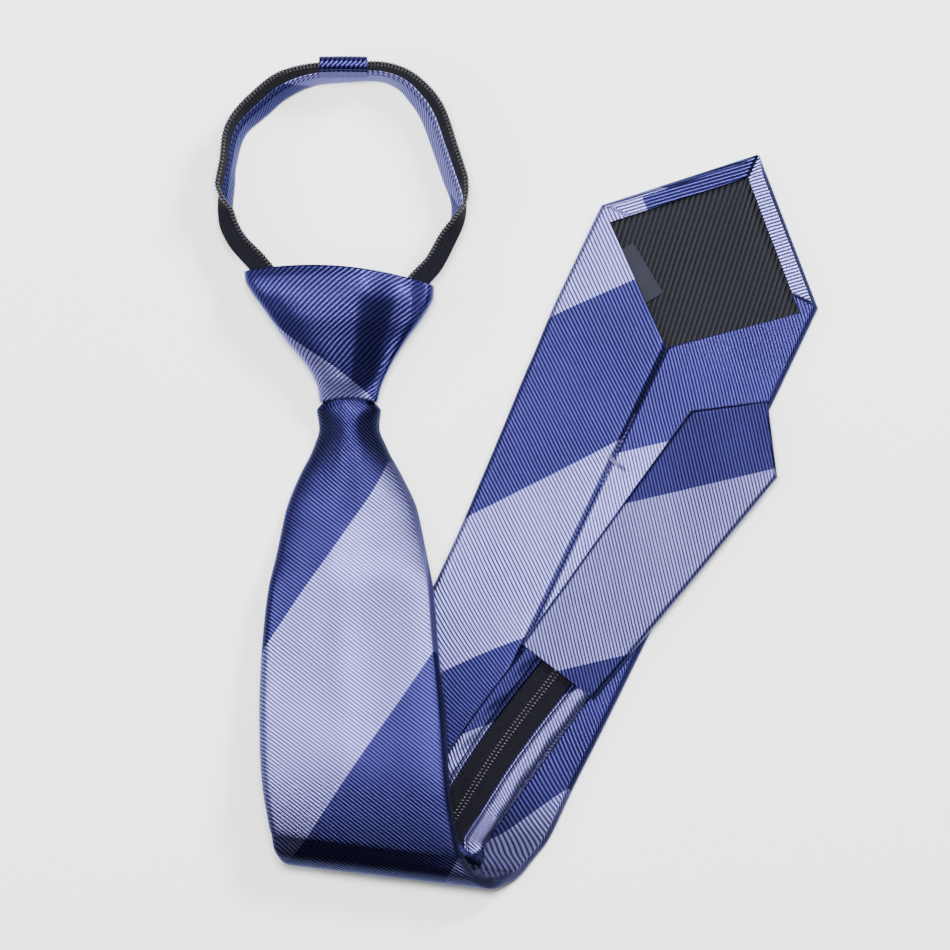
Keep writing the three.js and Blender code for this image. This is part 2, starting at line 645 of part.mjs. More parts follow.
const NECK_FOOT = NECK_BAND_THICKNESS / 2;

function neckRidge({ band }) {
  return new THREE.Vector2(0, NECK_FOOT).addScaledVector(leaned(band), NECK_BAND);
}

function neckTapeStart(row) {
  return neckRidge(row).addScaledVector(leaned(row.band), TAPE_THICKNESS / 2 + CLEARANCE);
}

function neckBandOutline(row) {
  const cut = NECK_BAND_THICKNESS / 4;
  const foot = new THREE.Vector2(0, NECK_FOOT);
  const [a, b, c, d] = bar(foot, row.band, 0, NECK_BAND, NECK_BAND_THICKNESS);
  const top = leaned(row.band).multiplyScalar(cut);
  const beside = leaned(row.band + 90).multiplyScalar(cut);
  return [
    [a[0] + beside.x, a[1] + beside.y], [a[0] + top.x, a[1] + top.y],
    [b[0] - top.x, b[1] - top.y], [b[0] + beside.x, b[1] + beside.y],
    [c[0] - beside.x, c[1] - beside.y], [c[0] - top.x, c[1] - top.y],
    [d[0] + top.x, d[1] + top.y], [d[0] - beside.x, d[1] - beside.y],
  ];
}

function neckCoilOutline(row) {
  const reach = NECK_TAPE + CLEARANCE + NECK_COIL / 2;
  const centre = neckTapeStart(row).addScaledVector(leaned(row.tape), reach);
  const outline = [];
  for (let j = 0; j < COIL_SIDES; j += 1) {
    const spoke = leaned(row.tape + (360 * j) / COIL_SIDES).multiplyScalar(NECK_COIL / 2);
    outline.push([centre.x + spoke.x, centre.y + spoke.y]);
  }
  return outline;
}

// The keeper is a small channel of cloth over the tapes, where the two halves meet
function neckKeeper() {
  const row = LEFT_ROWS[LEFT_ROWS.length - 1];
  const start = neckTapeStart(row);
  const inner = NECK_COIL / 2 + 2 * CLEARANCE;
  const outer = inner + CLOTH;
  const end = NECK_TAPE + 2 * CLEARANCE + NECK_COIL;
  const along = leaned(row.tape);
  const beside = leaned(row.tape + 90);
  const place = (u, v) => start.clone().addScaledVector(along, u).addScaledVector(beside, v).toArray();
  const low = CLEARANCE;
  const outline = [
    place(low, -outer), place(end + CLOTH, -outer), place(end + CLOTH, outer), place(low, outer),
    place(low, inner), place(end, inner), place(end, -inner), place(low, -inner),
  ];
  const meet = new THREE.Vector3(NECK_MEET * LOOP_WIDTH, row.y * LOOP_HEIGHT, 0);
  const heading = across(0);
  return loft([-0.5, 0.5].map((share) => ({
    middle: meet.clone().addScaledVector(heading, share * KEEPER_LENGTH),
    side: new THREE.Vector3(-heading.y, heading.x, 0),
    normal: UP,
    outline,
  })));
}

const NAVY = 0x262a69;
const LAVENDER = 0x9696c8;
const SLATE = 0x33334f;
const BLACK = 0x1c1c22;
const LABEL_GREY = 0x3a3c5c;
const LACQUER = 0x2a2a2e;

add('blade', blade(), NAVY, 0.45);
add('tipping', tipping(), SLATE, 0.5);
add('label', label(), LABEL_GREY, 0.6);
add('knot_wrap', knotWrap(), NAVY, 0.45);
add('zip_slider', zipSlider(), LACQUER, 0.35, 1);
add('tail_blade', tailBlade(), LAVENDER, 0.45);

const coilHalf = COIL_WIDTH / 2;
const tapeNear = coilHalf + CLEARANCE;
const bandNear = tapeNear + TAPE_WIDTH + CLEARANCE;
const stripHalf = STRIP_WIDTH / 2;
add('tail_coil', stripRibbon(-coilHalf, coilHalf, COIL_THICKNESS, 0.5), BLACK, 0.35);
for (const [name, hand] of [['left', -1], ['right', 1]]) {
  const ribbon = (near, far, thickness, rounded) => (hand > 0
    ? stripRibbon(near, far, thickness, rounded)
    : stripRibbon(-far, -near, thickness, rounded));
  add(`tail_tape_${name}`, ribbon(tapeNear, tapeNear + TAPE_WIDTH, TAPE_THICKNESS, 0), BLACK, 0.8);
  add(`tail_band_${name}`, ribbon(bandNear, stripHalf, BAND_THICKNESS, 0.5), NAVY, 0.45);

  const table = hand > 0 ? RIGHT_ROWS : LEFT_ROWS;
  const half = (outlineAt) => loft(neckStations(table, hand, outlineAt));
  const tapeOutline = (row) => bar(neckTapeStart(row), row.tape, 0, NECK_TAPE, TAPE_THICKNESS);
  add(`neck_band_${name}`, half(neckBandOutline), NAVY, 0.45);
  add(`neck_tape_${name}`, half(tapeOutline), BLACK, 0.8);
  add(`neck_coil_${name}`, half(neckCoilOutline), BLACK, 0.35);
}
add('neck_keeper', neckKeeper(), NAVY, 0.45);

// The origin is under the middle of the whole tie, on the surface
const box = new THREE.Box3().setFromObject(tie);
const centre = box.getCenter(new THREE.Vector3());
tie.position.set(-centre.x, -centre.y, -box.min.z);

export default tie;
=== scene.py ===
import math

import bmesh
import bpy
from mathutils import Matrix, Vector


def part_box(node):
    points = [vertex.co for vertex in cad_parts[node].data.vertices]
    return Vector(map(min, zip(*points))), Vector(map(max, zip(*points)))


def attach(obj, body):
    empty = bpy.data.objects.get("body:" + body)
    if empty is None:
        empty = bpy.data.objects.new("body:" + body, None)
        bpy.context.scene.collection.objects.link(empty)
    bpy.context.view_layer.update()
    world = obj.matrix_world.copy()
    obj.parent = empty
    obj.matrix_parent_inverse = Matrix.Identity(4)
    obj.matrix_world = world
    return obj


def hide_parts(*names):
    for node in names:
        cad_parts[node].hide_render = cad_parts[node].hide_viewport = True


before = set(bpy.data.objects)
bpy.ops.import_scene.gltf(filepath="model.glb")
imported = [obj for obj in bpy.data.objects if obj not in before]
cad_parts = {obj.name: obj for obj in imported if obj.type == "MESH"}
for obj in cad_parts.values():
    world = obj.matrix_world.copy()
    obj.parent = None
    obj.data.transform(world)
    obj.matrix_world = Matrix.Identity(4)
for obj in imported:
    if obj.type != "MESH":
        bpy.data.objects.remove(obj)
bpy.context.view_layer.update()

# Everything is worked out in millimetres from the middle of the knot's lower edge,
# and set down in the frame at the end. The hidden slider in the knot says where that is.
mm = 0.001
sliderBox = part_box("zip_slider")
sliderUp = 14.61  # from the knot's lower edge up to the slider
knotFoot = Vector(((sliderBox[0][0] + sliderBox[1][0]) / 2, sliderBox[0][1] - sliderUp * mm, 0))
up = Vector((0, 0, 1))


def mix(a, b, share):
    return a + (b - a) * share


def ease(low, high, value):
    share = min(max((value - low) / (high - low), 0), 1)
    return share * share * (3 - 2 * share)


def bell(value, middle, width):
    return math.exp(-(((value - middle) / width) ** 2))


def bent(value, power):
    return math.copysign(abs(value) ** power, value)


def headed(lean):  # lean to the right of straight up, in degrees
    return Vector((math.sin(math.radians(lean)), math.cos(math.radians(lean)), 0))


def across(turn):  # to the right of a heading that leans by the turn
    return Vector((math.cos(math.radians(turn)), -math.sin(math.radians(turn)), 0))


def smoothRows(rows, steps, rounded=()):
    # smooth curves through the rows of a table, which pass beyond them in the rounded columns only
    def slope(column, i):
        return rows[i + 1][column] - rows[i][column]

    def tangent(column, before, after):
        if column in rounded:
            return (before + after) / 2
        return 2 * before * after / (before + after) if before * after > 0 else 0

    smooth = []
    for k in range((len(rows) - 1) * steps + 1):
        i = min(k // steps, len(rows) - 2)
        f = k / steps - i
        row = {}
        for column in rows[0]:
            here = slope(column, i)
            start = tangent(column, slope(column, i - 1), here) if i > 0 else here
            end = tangent(column, here, slope(column, i + 1)) if i < len(rows) - 2 else here
            row[column] = (
                rows[i][column] * (1 + 2 * f) * (1 - f) ** 2 + start * f * (1 - f) ** 2
                + rows[i + 1][column] * (3 - 2 * f) * f ** 2 + end * (f - 1) * f ** 2
            )
        smooth.append(row)
    return smooth


def table(columns, *rows):
    return [dict(zip(columns.split(), row)) for row in rows]


# Cloth laid along stations: each station has a middle, a side and a normal

def stationFrames(rows, lying=False):
    places = [Vector((row["x"], row["y"], row["z"])) for row in rows]
    frames = []
    for i, row in enumerate(rows):
        heading = places[min(i + 1, len(rows) - 1)] - places[max(i - 1, 0)]
        side = across(row["turn"])
        normal = up if lying else heading.cross(side).normalized()
        frames.append({"middle": places[i], "side": side, "normal": normal,
                       "heading": heading.normalized()})
    # the flat cloth under the stations, unrolled from the far end
    flat = Vector((0, 0))
    frames[-1]["flat"] = flat.copy()
    for i in range(len(rows) - 2, -1, -1):
        skew = math.radians((rows[i].get("skew", 0) + rows[i + 1].get("skew", 0)) / 2)
        step = places[i + 1] - places[i]
        along = Vector((math.cos(skew), -math.sin(skew)))
        cosine = step.normalized().dot(frames[i]["side"])
        sine = math.sqrt(max(1 - cosine ** 2, 0))
        flat = flat - step.length * (cosine * along + sine * Vector((along.y, -along.x)))
        frames[i]["flat"] = flat.copy()
    for i, row in enumerate(rows):
        skew = math.radians(row.get("skew", 0))
        frames[i]["flatSide"] = Vector((math.cos(skew), -math.sin(skew)))
    return frames


def layCloth(name, rows, columns, section, closed=False, lying=False):
    # section(row, share) gives the place across and above the station, how far across the
    # flat cloth it is, how far along the cloth it is set forward, and at times its painted shade
    frames = stationFrames(rows, lying)
    bm = bmesh.new()
    shade = bm.verts.layers.float.new("shade")
    bmesh.ops.create_grid(bm, x_segments=columns, y_segments=len(rows) - 1, size=1)
    low = min(vert.co.x for vert in bm.verts)
    span = max(vert.co.x for vert in bm.verts) - low
    flatPlace = {}
    probe = None
    for vert in bm.verts:
        share = (vert.co.x - low) / span
        index = round((vert.co.y - low) / span * (len(rows) - 1))
        if index == 0 and abs(share - 0.5) < 0.6 / columns:
            probe = vert
        station = frames[index]
        x, high, flatAcross, flatAlong, *paintedShade = section(rows[index], share)
        # the painted shade, by which the silk's colour is darkened
        vert[shade] = paintedShade[0] if paintedShade else 1
        flatSide = station["flatSide"]
        flatPlace[vert] = (station["flat"] + flatAcross * flatSide
                           + flatAlong * Vector((-flatSide.y, flatSide.x)))
        place = station["middle"] + x * station["side"] + high * station["normal"]
        place.z = max(place.z, 0)
        vert.co = place * mm + knotFoot
    if not closed:
        # the outer side is the one that the stations' normals leave
        bm.normal_update()
        if probe.link_faces[0].normal.dot(frames[0]["normal"]) < 0:
            bmesh.ops.reverse_faces(bm, faces=bm.faces)
    return finishCloth(name, bm, flatPlace, closed)


def finishCloth(name, bm, flatPlace, closed, capped=True):
    # the patterns read the flat place of each corner, how level the cloth lies and its painted shade
    uvLayer = bm.loops.layers.uv.new("cloth")
    for face in bm.faces:
        for loop in face.loops:
            loop[uvLayer].uv = flatPlace[loop.vert] * mm
        face.smooth = True
    if closed:
        bmesh.ops.remove_doubles(bm, verts=bm.verts, dist=0.002 * mm)
        if capped:
            rim = [edge for edge in bm.edges if edge.is_boundary]
            bmesh.ops.holes_fill(bm, edges=rim, sides=0)
        bmesh.ops.recalc_face_normals(bm, faces=bm.faces)
    bm.normal_update()
    # how level the cloth lies, from which the silk paints shade where it turns and painted light where it
    # stands upright
    level = bm.verts.layers.float.new("level")
    for vert in bm.verts:
        vert[level] = abs(vert.normal.z)
    # pieces without painted shade get none
    if not bm.verts.layers.float.get("shade"):
        shade = bm.verts.layers.float.new("shade")
        for vert in bm.verts:
            vert[shade] = 1
    return pieceFrom(name, bm)


def addWall(piece, thick, offset=-1):
    wall = piece.modifiers.new("wall", "SOLIDIFY")
    wall.thickness = thick * mm
    wall.offset = offset


def pieceFrom(name, bm):
    mesh = bpy.data.meshes.new(name)
    bm.to_mesh(mesh)
    bm.free()
    piece = bpy.data.objects.new(name, mesh)
    bpy.context.scene.collection.objects.link(piece)
    return piece


def dress(piece, material, slot, *nodes):
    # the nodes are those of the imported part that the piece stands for
    piece.data.materials.append(material)
    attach(piece, "root")
    if nodes:
        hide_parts(*nodes)
    return piece


# Materials

class Nodes:
    def __init__(self, name):
        self.material = bpy.data.materials.new(name)
        self.material.use_nodes = True
        self.tree = self.material.node_tree
        self.shader = self.tree.nodes["Principled BSDF"]

    def node(self, kind, inputs=None, **settings):
        made = self.tree.nodes.new(kind)
        for key, value in settings.items():
            setattr(made, key, value)
        for key, value in (inputs or {}).items():
            self.put(made.inputs[key], value)
        return made

    def put(self, socket, value):
        if isinstance(value, bpy.types.NodeSocket):
            self.tree.links.new(value, socket)
        else:
            socket.default_value = value

    def surface(self, values):
        for key, value in values.items():
            self.put(self.shader.inputs[key], value)

    def math(self, operation, a, b=0.0, c=0.0, clamp=False):
        made = self.node("ShaderNodeMath", operation=operation, use_clamp=clamp)
        for socket, value in zip(made.inputs, (a, b, c)):
            self.put(socket, value)
        return made.outputs[0]

    def colour(self, factor, a, b):
        made = self.node("ShaderNodeMix", data_type="RGBA")
        self.put(made.inputs["Factor"], factor)
        self.put(made.inputs["A"], a)
        self.put(made.inputs["B"], b)
        return made.outputs["Result"]

    def attribute(self, name):
        return self.node("ShaderNodeAttribute", attribute_name=name).outputs["Fac"]

    def uv(self):
        split = self.node("ShaderNodeSeparateXYZ")
        self.put(split.inputs[0], self.node("ShaderNodeUVMap", uv_map="cloth").outputs[0])
        return split.outputs[0], split.outputs[1]

    def noise(self, scale, detail):
        made = self.node("ShaderNodeTexNoise", {"Scale": scale, "Detail": detail})
        self.put(made.inputs["Vector"], self.node("ShaderNodeTexCoord").outputs["Object"])
        return made.outputs[0]

    def slanted(self, u, v, angle):
        return self.math("SUBTRACT", self.math("MULTIPLY", u, math.cos(angle)),
                         self.math("MULTIPLY", v, math.sin(angle)))

    def wave(self, value, pitch):  # the pitch in millimetres
        return self.math("SINE", self.math("MULTIPLY", value, 2 * math.pi / (pitch * mm)))

    def patches(self, scale, detail, amount):
        return self.math("MULTIPLY", self.math("SUBTRACT", self.noise(scale, detail), 0.5), amount)

    def bump(self, height, distance, normal=None):
        made = self.node("ShaderNodeBump", {"Strength": 1.0, "Distance": distance, "Height": height})
        if normal is not None:
            self.put(made.inputs["Normal"], normal)
        return made.outputs[0]


def srgb(red, green, blue):
    def linear(value):
        value /= 255
        return value / 12.92 if value <= 0.04045 else ((value + 0.055) / 1.055) ** 2.4
    return (linear(red), linear(green), linear(blue), 1)


silk = {
    "grain": 45.5,  # degrees between the stripes and the length of the wide blade
    "repeat": 98,  # one navy and one lavender stripe
    "start": -11.4,
    "rib": 1.1, "ribHeight": 0.1, "drift": 0.6,  # the ribs wander a little
    "stagger": 0.12,  # a stripe's edge steps from rib to rib
    "thread": 0.3, "threadHeight": 0.012,
    "navy": (srgb(0, 0, 9), srgb(55, 52, 117)),  # in a rib's groove and on its crest: the groove darker as painted shade, the crest lighter as a painted highlight
    "lavender": (srgb(11, 10, 40), srgb(146, 143, 217)),
    "sharpness": 0.75, "worn": 0.25,
    "turnedFrom": 0.992, "turnedTo": 0.85,  # painted shade: the satin's colour is darkened as it turns from level
    "edgeTone": 0.75, "edgeFade": 1.2,  # and is painted lighter again where it stands upright
    "roughness": 0.36, "crestGloss": 0.06,
}


def silkMaterial(name, turn=0, shift=0, turnedShadeTone=0.45, tone=1, relief=1):
    # turn and shift lay the stripes on a piece: degrees, and millimetres across the stripes
    # tone darkens all of a piece's silk as painted shade, and the turned tone is how dark the painted shade
    # goes where the cloth turns from level
    n = Nodes(name)
    u, v = n.uv()
    grain = math.radians(silk["grain"] + turn)
    acrossStripes = n.slanted(u, v, grain)
    alongStripes = n.slanted(v, u, -grain)
    ribPlace = n.math("ADD", alongStripes, n.patches(60, 1.0, silk["drift"] * mm))
    ribWave = n.wave(ribPlace, silk["rib"])
    crest = n.math("MULTIPLY_ADD", ribWave, 0.5, 0.5)
    stepped = n.math("MULTIPLY_ADD", ribWave, silk["stagger"] * mm, acrossStripes)
    place = n.math("DIVIDE", n.math("ADD", stepped, (silk["start"] + shift) * mm), silk["repeat"] * mm)
    isNavy = n.math("GREATER_THAN", n.math("FRACT", place), 0.5)
    # the rib's colour runs from the groove's painted shade to the crest's painted highlight, with worn
    # patches at random
    sharpCrest = n.math("POWER", crest, silk["sharpness"])
    ribTone = n.math("ADD", sharpCrest, n.patches(35, 3.0, silk["worn"]), clamp=True)
    cloth = n.colour(isNavy, n.colour(ribTone, *silk["lavender"]), n.colour(ribTone, *silk["navy"]))
    # painted shade: the colour darkens as the cloth turns from level, is painted lighter again where it
    # stands upright, and is darkened by the piece's painted shade
    level = n.attribute("level")
    reach = silk["turnedFrom"] - silk["turnedTo"]
    upright = n.math("MULTIPLY_ADD", level, 1 / reach, -silk["turnedTo"] / reach, clamp=True)
    flatLit = n.math("MULTIPLY_ADD", upright, tone * (1 - turnedShadeTone), tone * turnedShadeTone)
    edgeLit = n.math("MULTIPLY_ADD", level, -silk["edgeFade"] * tone, silk["edgeTone"] * tone)
    lit = n.math("MULTIPLY", n.math("MAXIMUM", flatLit, edgeLit), n.attribute("shade"))
    threads = n.bump(n.wave(acrossStripes, silk["thread"]), silk["threadHeight"] * mm)
    n.surface({
        "Base Color": n.colour(lit, (0, 0, 0, 1), cloth),
        "Roughness": n.math("MULTIPLY_ADD", crest, -silk["crestGloss"], silk["roughness"]),
        "Metallic": 0.85,
        "Sheen Weight": 0.05, "Sheen Roughness": 0.35, "Sheen Tint": (0.6, 0.62, 1, 1),
        "Specular IOR Level": 0.35, "Specular Tint": (0.6, 0.64, 1, 1),
        "Normal": n.bump(crest, relief * silk["ribHeight"] * mm, threads),
    })
    return n.material


twill = {"lean": 7.5, "rib": 1.65, "sharpness": 0.7, "worn": 0.3, "height": 0.25}


def tippingMaterial():
    n = Nodes("tippingTwill")
    u, v = n.uv()
    ribWave = n.wave(n.slanted(u, v, math.radians(twill["lean"])), twill["rib"])
    crest = n.math("POWER", n.math("MULTIPLY_ADD", ribWave, 0.5, 0.5), twill["sharpness"])
    tone = n.math("ADD", crest, n.patches(90, 3.0, twill["worn"]), clamp=True)
    n.surface({
        "Base Color": n.colour(tone, srgb(0, 0, 3), srgb(13, 14, 24)),
        "Roughness": 0.55, "Specular IOR Level": 0.15,
        "Normal": n.bump(crest, twill["height"] * mm),
    })
    return n.material


def wovenWave(n, wale, course):
    # a wave across the cloth times one along it
    u, v = n.uv()
    return n.math("MULTIPLY_ADD", n.math("MULTIPLY", n.wave(u, wale), n.wave(v, course)), 0.5, 0.5)


def tapeMaterial():
    n = Nodes("zipTape")
    knit = wovenWave(n, 0.55, 0.7)
    tone = n.math("MULTIPLY", n.math("ADD", knit, n.noise(900, 2.0)), 0.5)
    n.surface({
        "Base Color": n.colour(tone, srgb(0, 0, 3), srgb(19, 19, 28)),
        "Roughness": 0.8, "Specular IOR Level": 0.1,
        "Normal": n.bump(tone, 0.3 * mm),
    })
    return n.material


def labelMaterial():
    n = Nodes("labelWeave")
    weave = wovenWave(n, 0.3, 0.3)
    n.surface({
        "Base Color": n.colour(weave, srgb(12, 12, 18), srgb(37, 39, 52)),
        "Roughness": 0.6, "Specular IOR Level": 0.12,
        "Normal": n.bump(weave, 0.04 * mm),
    })
    return n.material


def coilMaterial():
    n = Nodes("coilNylon")
    n.surface({
        "Base Color": n.colour(n.noise(1500, 2.0), srgb(6, 6, 10), srgb(34, 34, 42)),
        "Roughness": 0.38,
    })
    return n.material


def plainMaterial(name, dark, light, roughness, grainScale, grainHeight, metallic=0.0):
    n = Nodes(name)
    grain = n.noise(grainScale, 3.0)
    n.surface({
        "Base Color": n.colour(grain, dark, light), "Roughness": roughness, "Metallic": metallic,
        "Normal": n.bump(grain, grainHeight * mm),
    })
    return n.material


# Camera, floor and light

camera = {
    "footPixel": (349, 399), "imageMiddle": 475, "pixelsPerMm": 3,  # the knot's foot in the photo
    "height": 3.0,  # metres over the table
    "sensor": 36,
}


def fromPixel(x, y):
    # a place on the table, in millimetres from the knot's foot, under a pixel of the picture
    return Vector(((x - camera["footPixel"][0]) / camera["pixelsPerMm"],
                   (camera["footPixel"][1] - y) / camera["pixelsPerMm"], 0))


def makeCamera():
    middle = fromPixel(camera["imageMiddle"], camera["imageMiddle"]) * mm + knotFoot
    data = bpy.data.cameras.new("camera")
    data.sensor_width = camera["sensor"]
    wide = 2 * camera["imageMiddle"] / camera["pixelsPerMm"] * mm
    data.lens = camera["sensor"] * camera["height"] / wide
    data.clip_end = 20
    eye = bpy.data.objects.new("camera", data)
    eye.location = (middle.x, middle.y, camera["height"])
    bpy.context.scene.collection.objects.link(eye)
    bpy.context.scene.camera = eye


lights = {
    "key": {"place": (0.7, 0.85, 0.85), "size": 0.4, "power": 38},
    "fill": {"place": (-0.9, 0.0, 0.7), "size": 0.6, "power": 10},
    "top": {"place": (-0.1, 0.26, 1.5), "size": 0.42, "power": 50},
}
sky = {"Color": (0.9, 0.93, 1, 1), "Strength": 0.1}


def makeLights():
    for name, light in lights.items():
        data = bpy.data.lights.new(name, "AREA")
        data.size = light["size"]
        data.energy = light["power"]
        lamp = bpy.data.objects.new(name, data)
        lamp.location = light["place"]
        lamp.rotation_euler = Vector(light["place"]).to_track_quat("Z", "Y").to_euler()
        bpy.context.scene.collection.objects.link(lamp)
    world = bpy.data.worlds.new("world")
    world.use_nodes = True
    for key, value in sky.items():
        world.node_tree.nodes["Background"].inputs[key].default_value = value
    bpy.context.scene.world = world


def makeFloor():
    bm = bmesh.new()
    bmesh.ops.create_grid(bm, x_segments=1, y_segments=1, size=3)
    floor = pieceFrom("floor", bm)
    paper = plainMaterial("floorPaper", (0.93, 0.93, 0.94, 1), (0.95, 0.95, 0.96, 1), 0.8, 40, 0.02)
    floor.data.materials.append(paper)


makeCamera()
makeLights()
makeFloor()
print("stage is set")


# How the wide blade and the hidden run of the tail lie, from the knot down to the bend

sizes = {
    "bladeWidth": 80, "hang": 159, "rear": 249, "rearTurn": 25.5, "foldTurn": 6.9,
    "point": 38, "mouth": 71.6, "hem": 6.5, "cloth": 1.2, "pocket": 1.8, "gap": 0.3, "seam": 0.4,
    "slack": 2.4, "droop": 3, "bendDrop": 6.5,
    # the zip strip and the tail
    "bandWidth": 7.2, "band": 2.2, "tapeWidth": 4, "tape": 1, "coilWidth": 3.2,
    "tailRun": 66.5, "tailRunLean": 34.5, "tailRunBow": 2, "tailLean": 37.8, "tailLength": 114,
    "tailWidth": 36.5, "tailPocket": 0.9, "stripOverlap": 8, "tailBendTurn": 12.6,
    # the knot and the neck loop
    "knotHeight": 44, "knotWidth": 64, "knotDepth": 20, "knotWall": 1.5, "knotCrown": 4.8,
    "loopWidth": 84, "loopHeight": 110, "neckBand": 9, "neckTape": 4, "neckCoil": 2.2, "keeper": 16,
}
bladeThick = 2 * sizes["cloth"] + sizes["pocket"]
onRear = bladeThick + sizes["gap"]
onKnotWall = sizes["knotWall"] + sizes["gap"]

# down is a share of the hang, and shift, half, flat and tailShift are shares of the blade's width;
# inKnot, onRear and spread say what carries the tail, and slack is the air between it and the front
layRows = table(
    "down inKnot onRear spread slack shift half turn droop flat ridge tailShift gather",
    (-0.09, 1, 0, 0, 0.05, 0, 0.088, 0, 0.1, 0.19, 0, 0, 0.5),
    (-0.01, 1, 0, 0, 0.05, 0, 0.09, 0, 0.1, 0.19, 0, 0, 0.5),
    (0.025, 0.9, 0, 0, 0.2, 0, 0.134, 0, 0.1, 0.2, 0.7, 0, 0.52),
    (0.065, 0.3, 0, 0, 0.35, 0.002, 0.126, 0, 0.1, 0.2, 1, 0.002, 0.58),
    (0.11, 0, 0, 0, 0.35, 0.006, 0.16, 0, 0.1, 0.21, 1, 0.005, 0.68),
    (0.16, 0, 0, 0, 0.35, 0.008, 0.213, 0, 0.2, 0.245, 0.9, 0.01, 0.82),
    (0.23, 0, 0.1, 0, 0.3, 0.012, 0.274, 0, 0.5, 0.292, 0.6, 0.018, 1),
    (0.31, 0, 0.5, 0, 0.3, 0.012, 0.309, 0, 0.5, 0.332, 0.3, 0.03, 1),
    (0.39, 0, 1, 0.02, 0.35, 0.009, 0.342, 0, 0.6, 0.36, 0.1, 0.04, 1),
    (0.5, 0, 1, 0.12, 0.45, 0.006, 0.364, 0.1, 0.8, 0.39, 0, 0.06, 1),
    (0.66, 0, 1, 0.45, 0.7, 0.016, 0.387, 0.3, 1, 0.41, 0, 0.1, 1),
    (0.81, 0, 1, 0.85, 0.93, 0.032, 0.394, 0.65, 1, 0.43, 0, 0.18, 1),
    (0.93, 0, 1, 1, 0.3, 0.07, 0.398, 0.95, 0.6, 0.44, 0, 0.335, 1),
)
bendRows = table(
    "shift down rise half droop flat skew",
    (0.115, 0.981, 0.8, 0.425, 0.2, 0.45, 17.5),
    (0.172, 1, 0.49, 0.444, 0, 0.455, 18),
    (0.247, 0.98, 0.15, 0.456, 0, 0.46, 18.6),
    (0.314, 0.935, 0.015, 0.462, 0, 0.465, 18.6),
    (0.367, 0.9, 0, 0.463, 0, 0.465, 18.6),
)
rearRows = table(
    "back half turn",
    (0.89, 0.452, 0.3), (0.78, 0.448, 0.75), (0.66, 0.45, 1), (0.52, 0.466, 1), (0.4, 0.486, 1),
)


def tailUnder(row):
    return row["inKnot"] * onKnotWall + row["onRear"] * onRear + row["spread"] * sizes["bendDrop"]


def frontFace(row):
    return tailUnder(row) + sizes["band"] + sizes["gap"] + row["slack"] * sizes["slack"] + bladeThick


rearHeading = headed(sizes["rearTurn"])
rearSide = across(sizes["rearTurn"])
rearTip = (Vector((bendRows[-1]["shift"] * sizes["bladeWidth"], -bendRows[-1]["down"] * sizes["hang"], 0))
           + sizes["rear"] * rearHeading)


def onRearBlade(back, aside, height=0):
    return rearTip - back * rearHeading + aside * rearSide + height * up


def pointHalf(back):
    return min(back / sizes["point"], 1) * sizes["bladeWidth"] / 2


def mouthHalf(back):
    half = sizes["bladeWidth"] / 2
    hems = back / sizes["point"] * half - sizes["hem"] * math.sqrt(2)
    flaps = (sizes["mouth"] - back) / (sizes["mouth"] - sizes["point"]) * half
    return min(hems, flaps)


wideBlade = {
    "cutFrom": (170, 450), "wall": 1.1, "patternTilt": 9, "stepsPerRow": 8, "tipStep": 1.2,
    "columns": (22, 6, 48),  # of a flap, of a rolled edge and of the face
    # the crown of the cloth under the knot, and the shallow wave across the front
    "ridgeHeight": 1.7, "ridgePlace": 0.1, "ridgeWidth": 0.42, "fall": 2.9, "roundness": 1.6,
    "wave": 1.1, "waveDown": -78, "waveLength": 45, "seamDip": 0.5, "seamReach": 1.5,
    # where the stripes come on the flaps and the hems
    "flapSkewLeft": 0.18, "flapSkewRight": 0.1, "flapShiftRight": 16,
    "hemShiftLeft": 5, "hemShiftRight": 19.6,
    # painted shade: how much darker the colour is painted before and round the bend, on the rear near the
    # bend and in the hollows, and the darkest it may go
    "bendShade": 0.8, "bendShadeFrom": (0.72, 0.93), "rearShade": 0.3, "rearShadeFrom": (0.7, 0.9),
    "foldShade": 0.72, "deepest": 0.2,
}
# across is a share of half the blade's width, and down is in millimetres from the knot's foot
waves = table("across width rise", (-0.2, 0.25, 1), (0.3, 0.28, -0.7))
# painted shade in the hollows beside the pleat and where the front turns from the light: each darkens the
# front's colour by its depth
hollowShades = table("across width down length depth",
                (-0.85, 0.5, -8, 20, 1), (0.9, 0.45, -10, 18, 1), (1, 0.55, -40, 20, 0.75))
farFromTip = 999


def bladeStation(place, half, turn, **more):
    plain = {"flat": half, "droop": 0, "ridge": 0, "skew": 0, "open": 0, "back": farFromTip,
             "front": 0, "shade": 1}
    return {"x": place[0], "y": place[1], "z": place[2], "half": half, "turn": turn, **plain, **more}


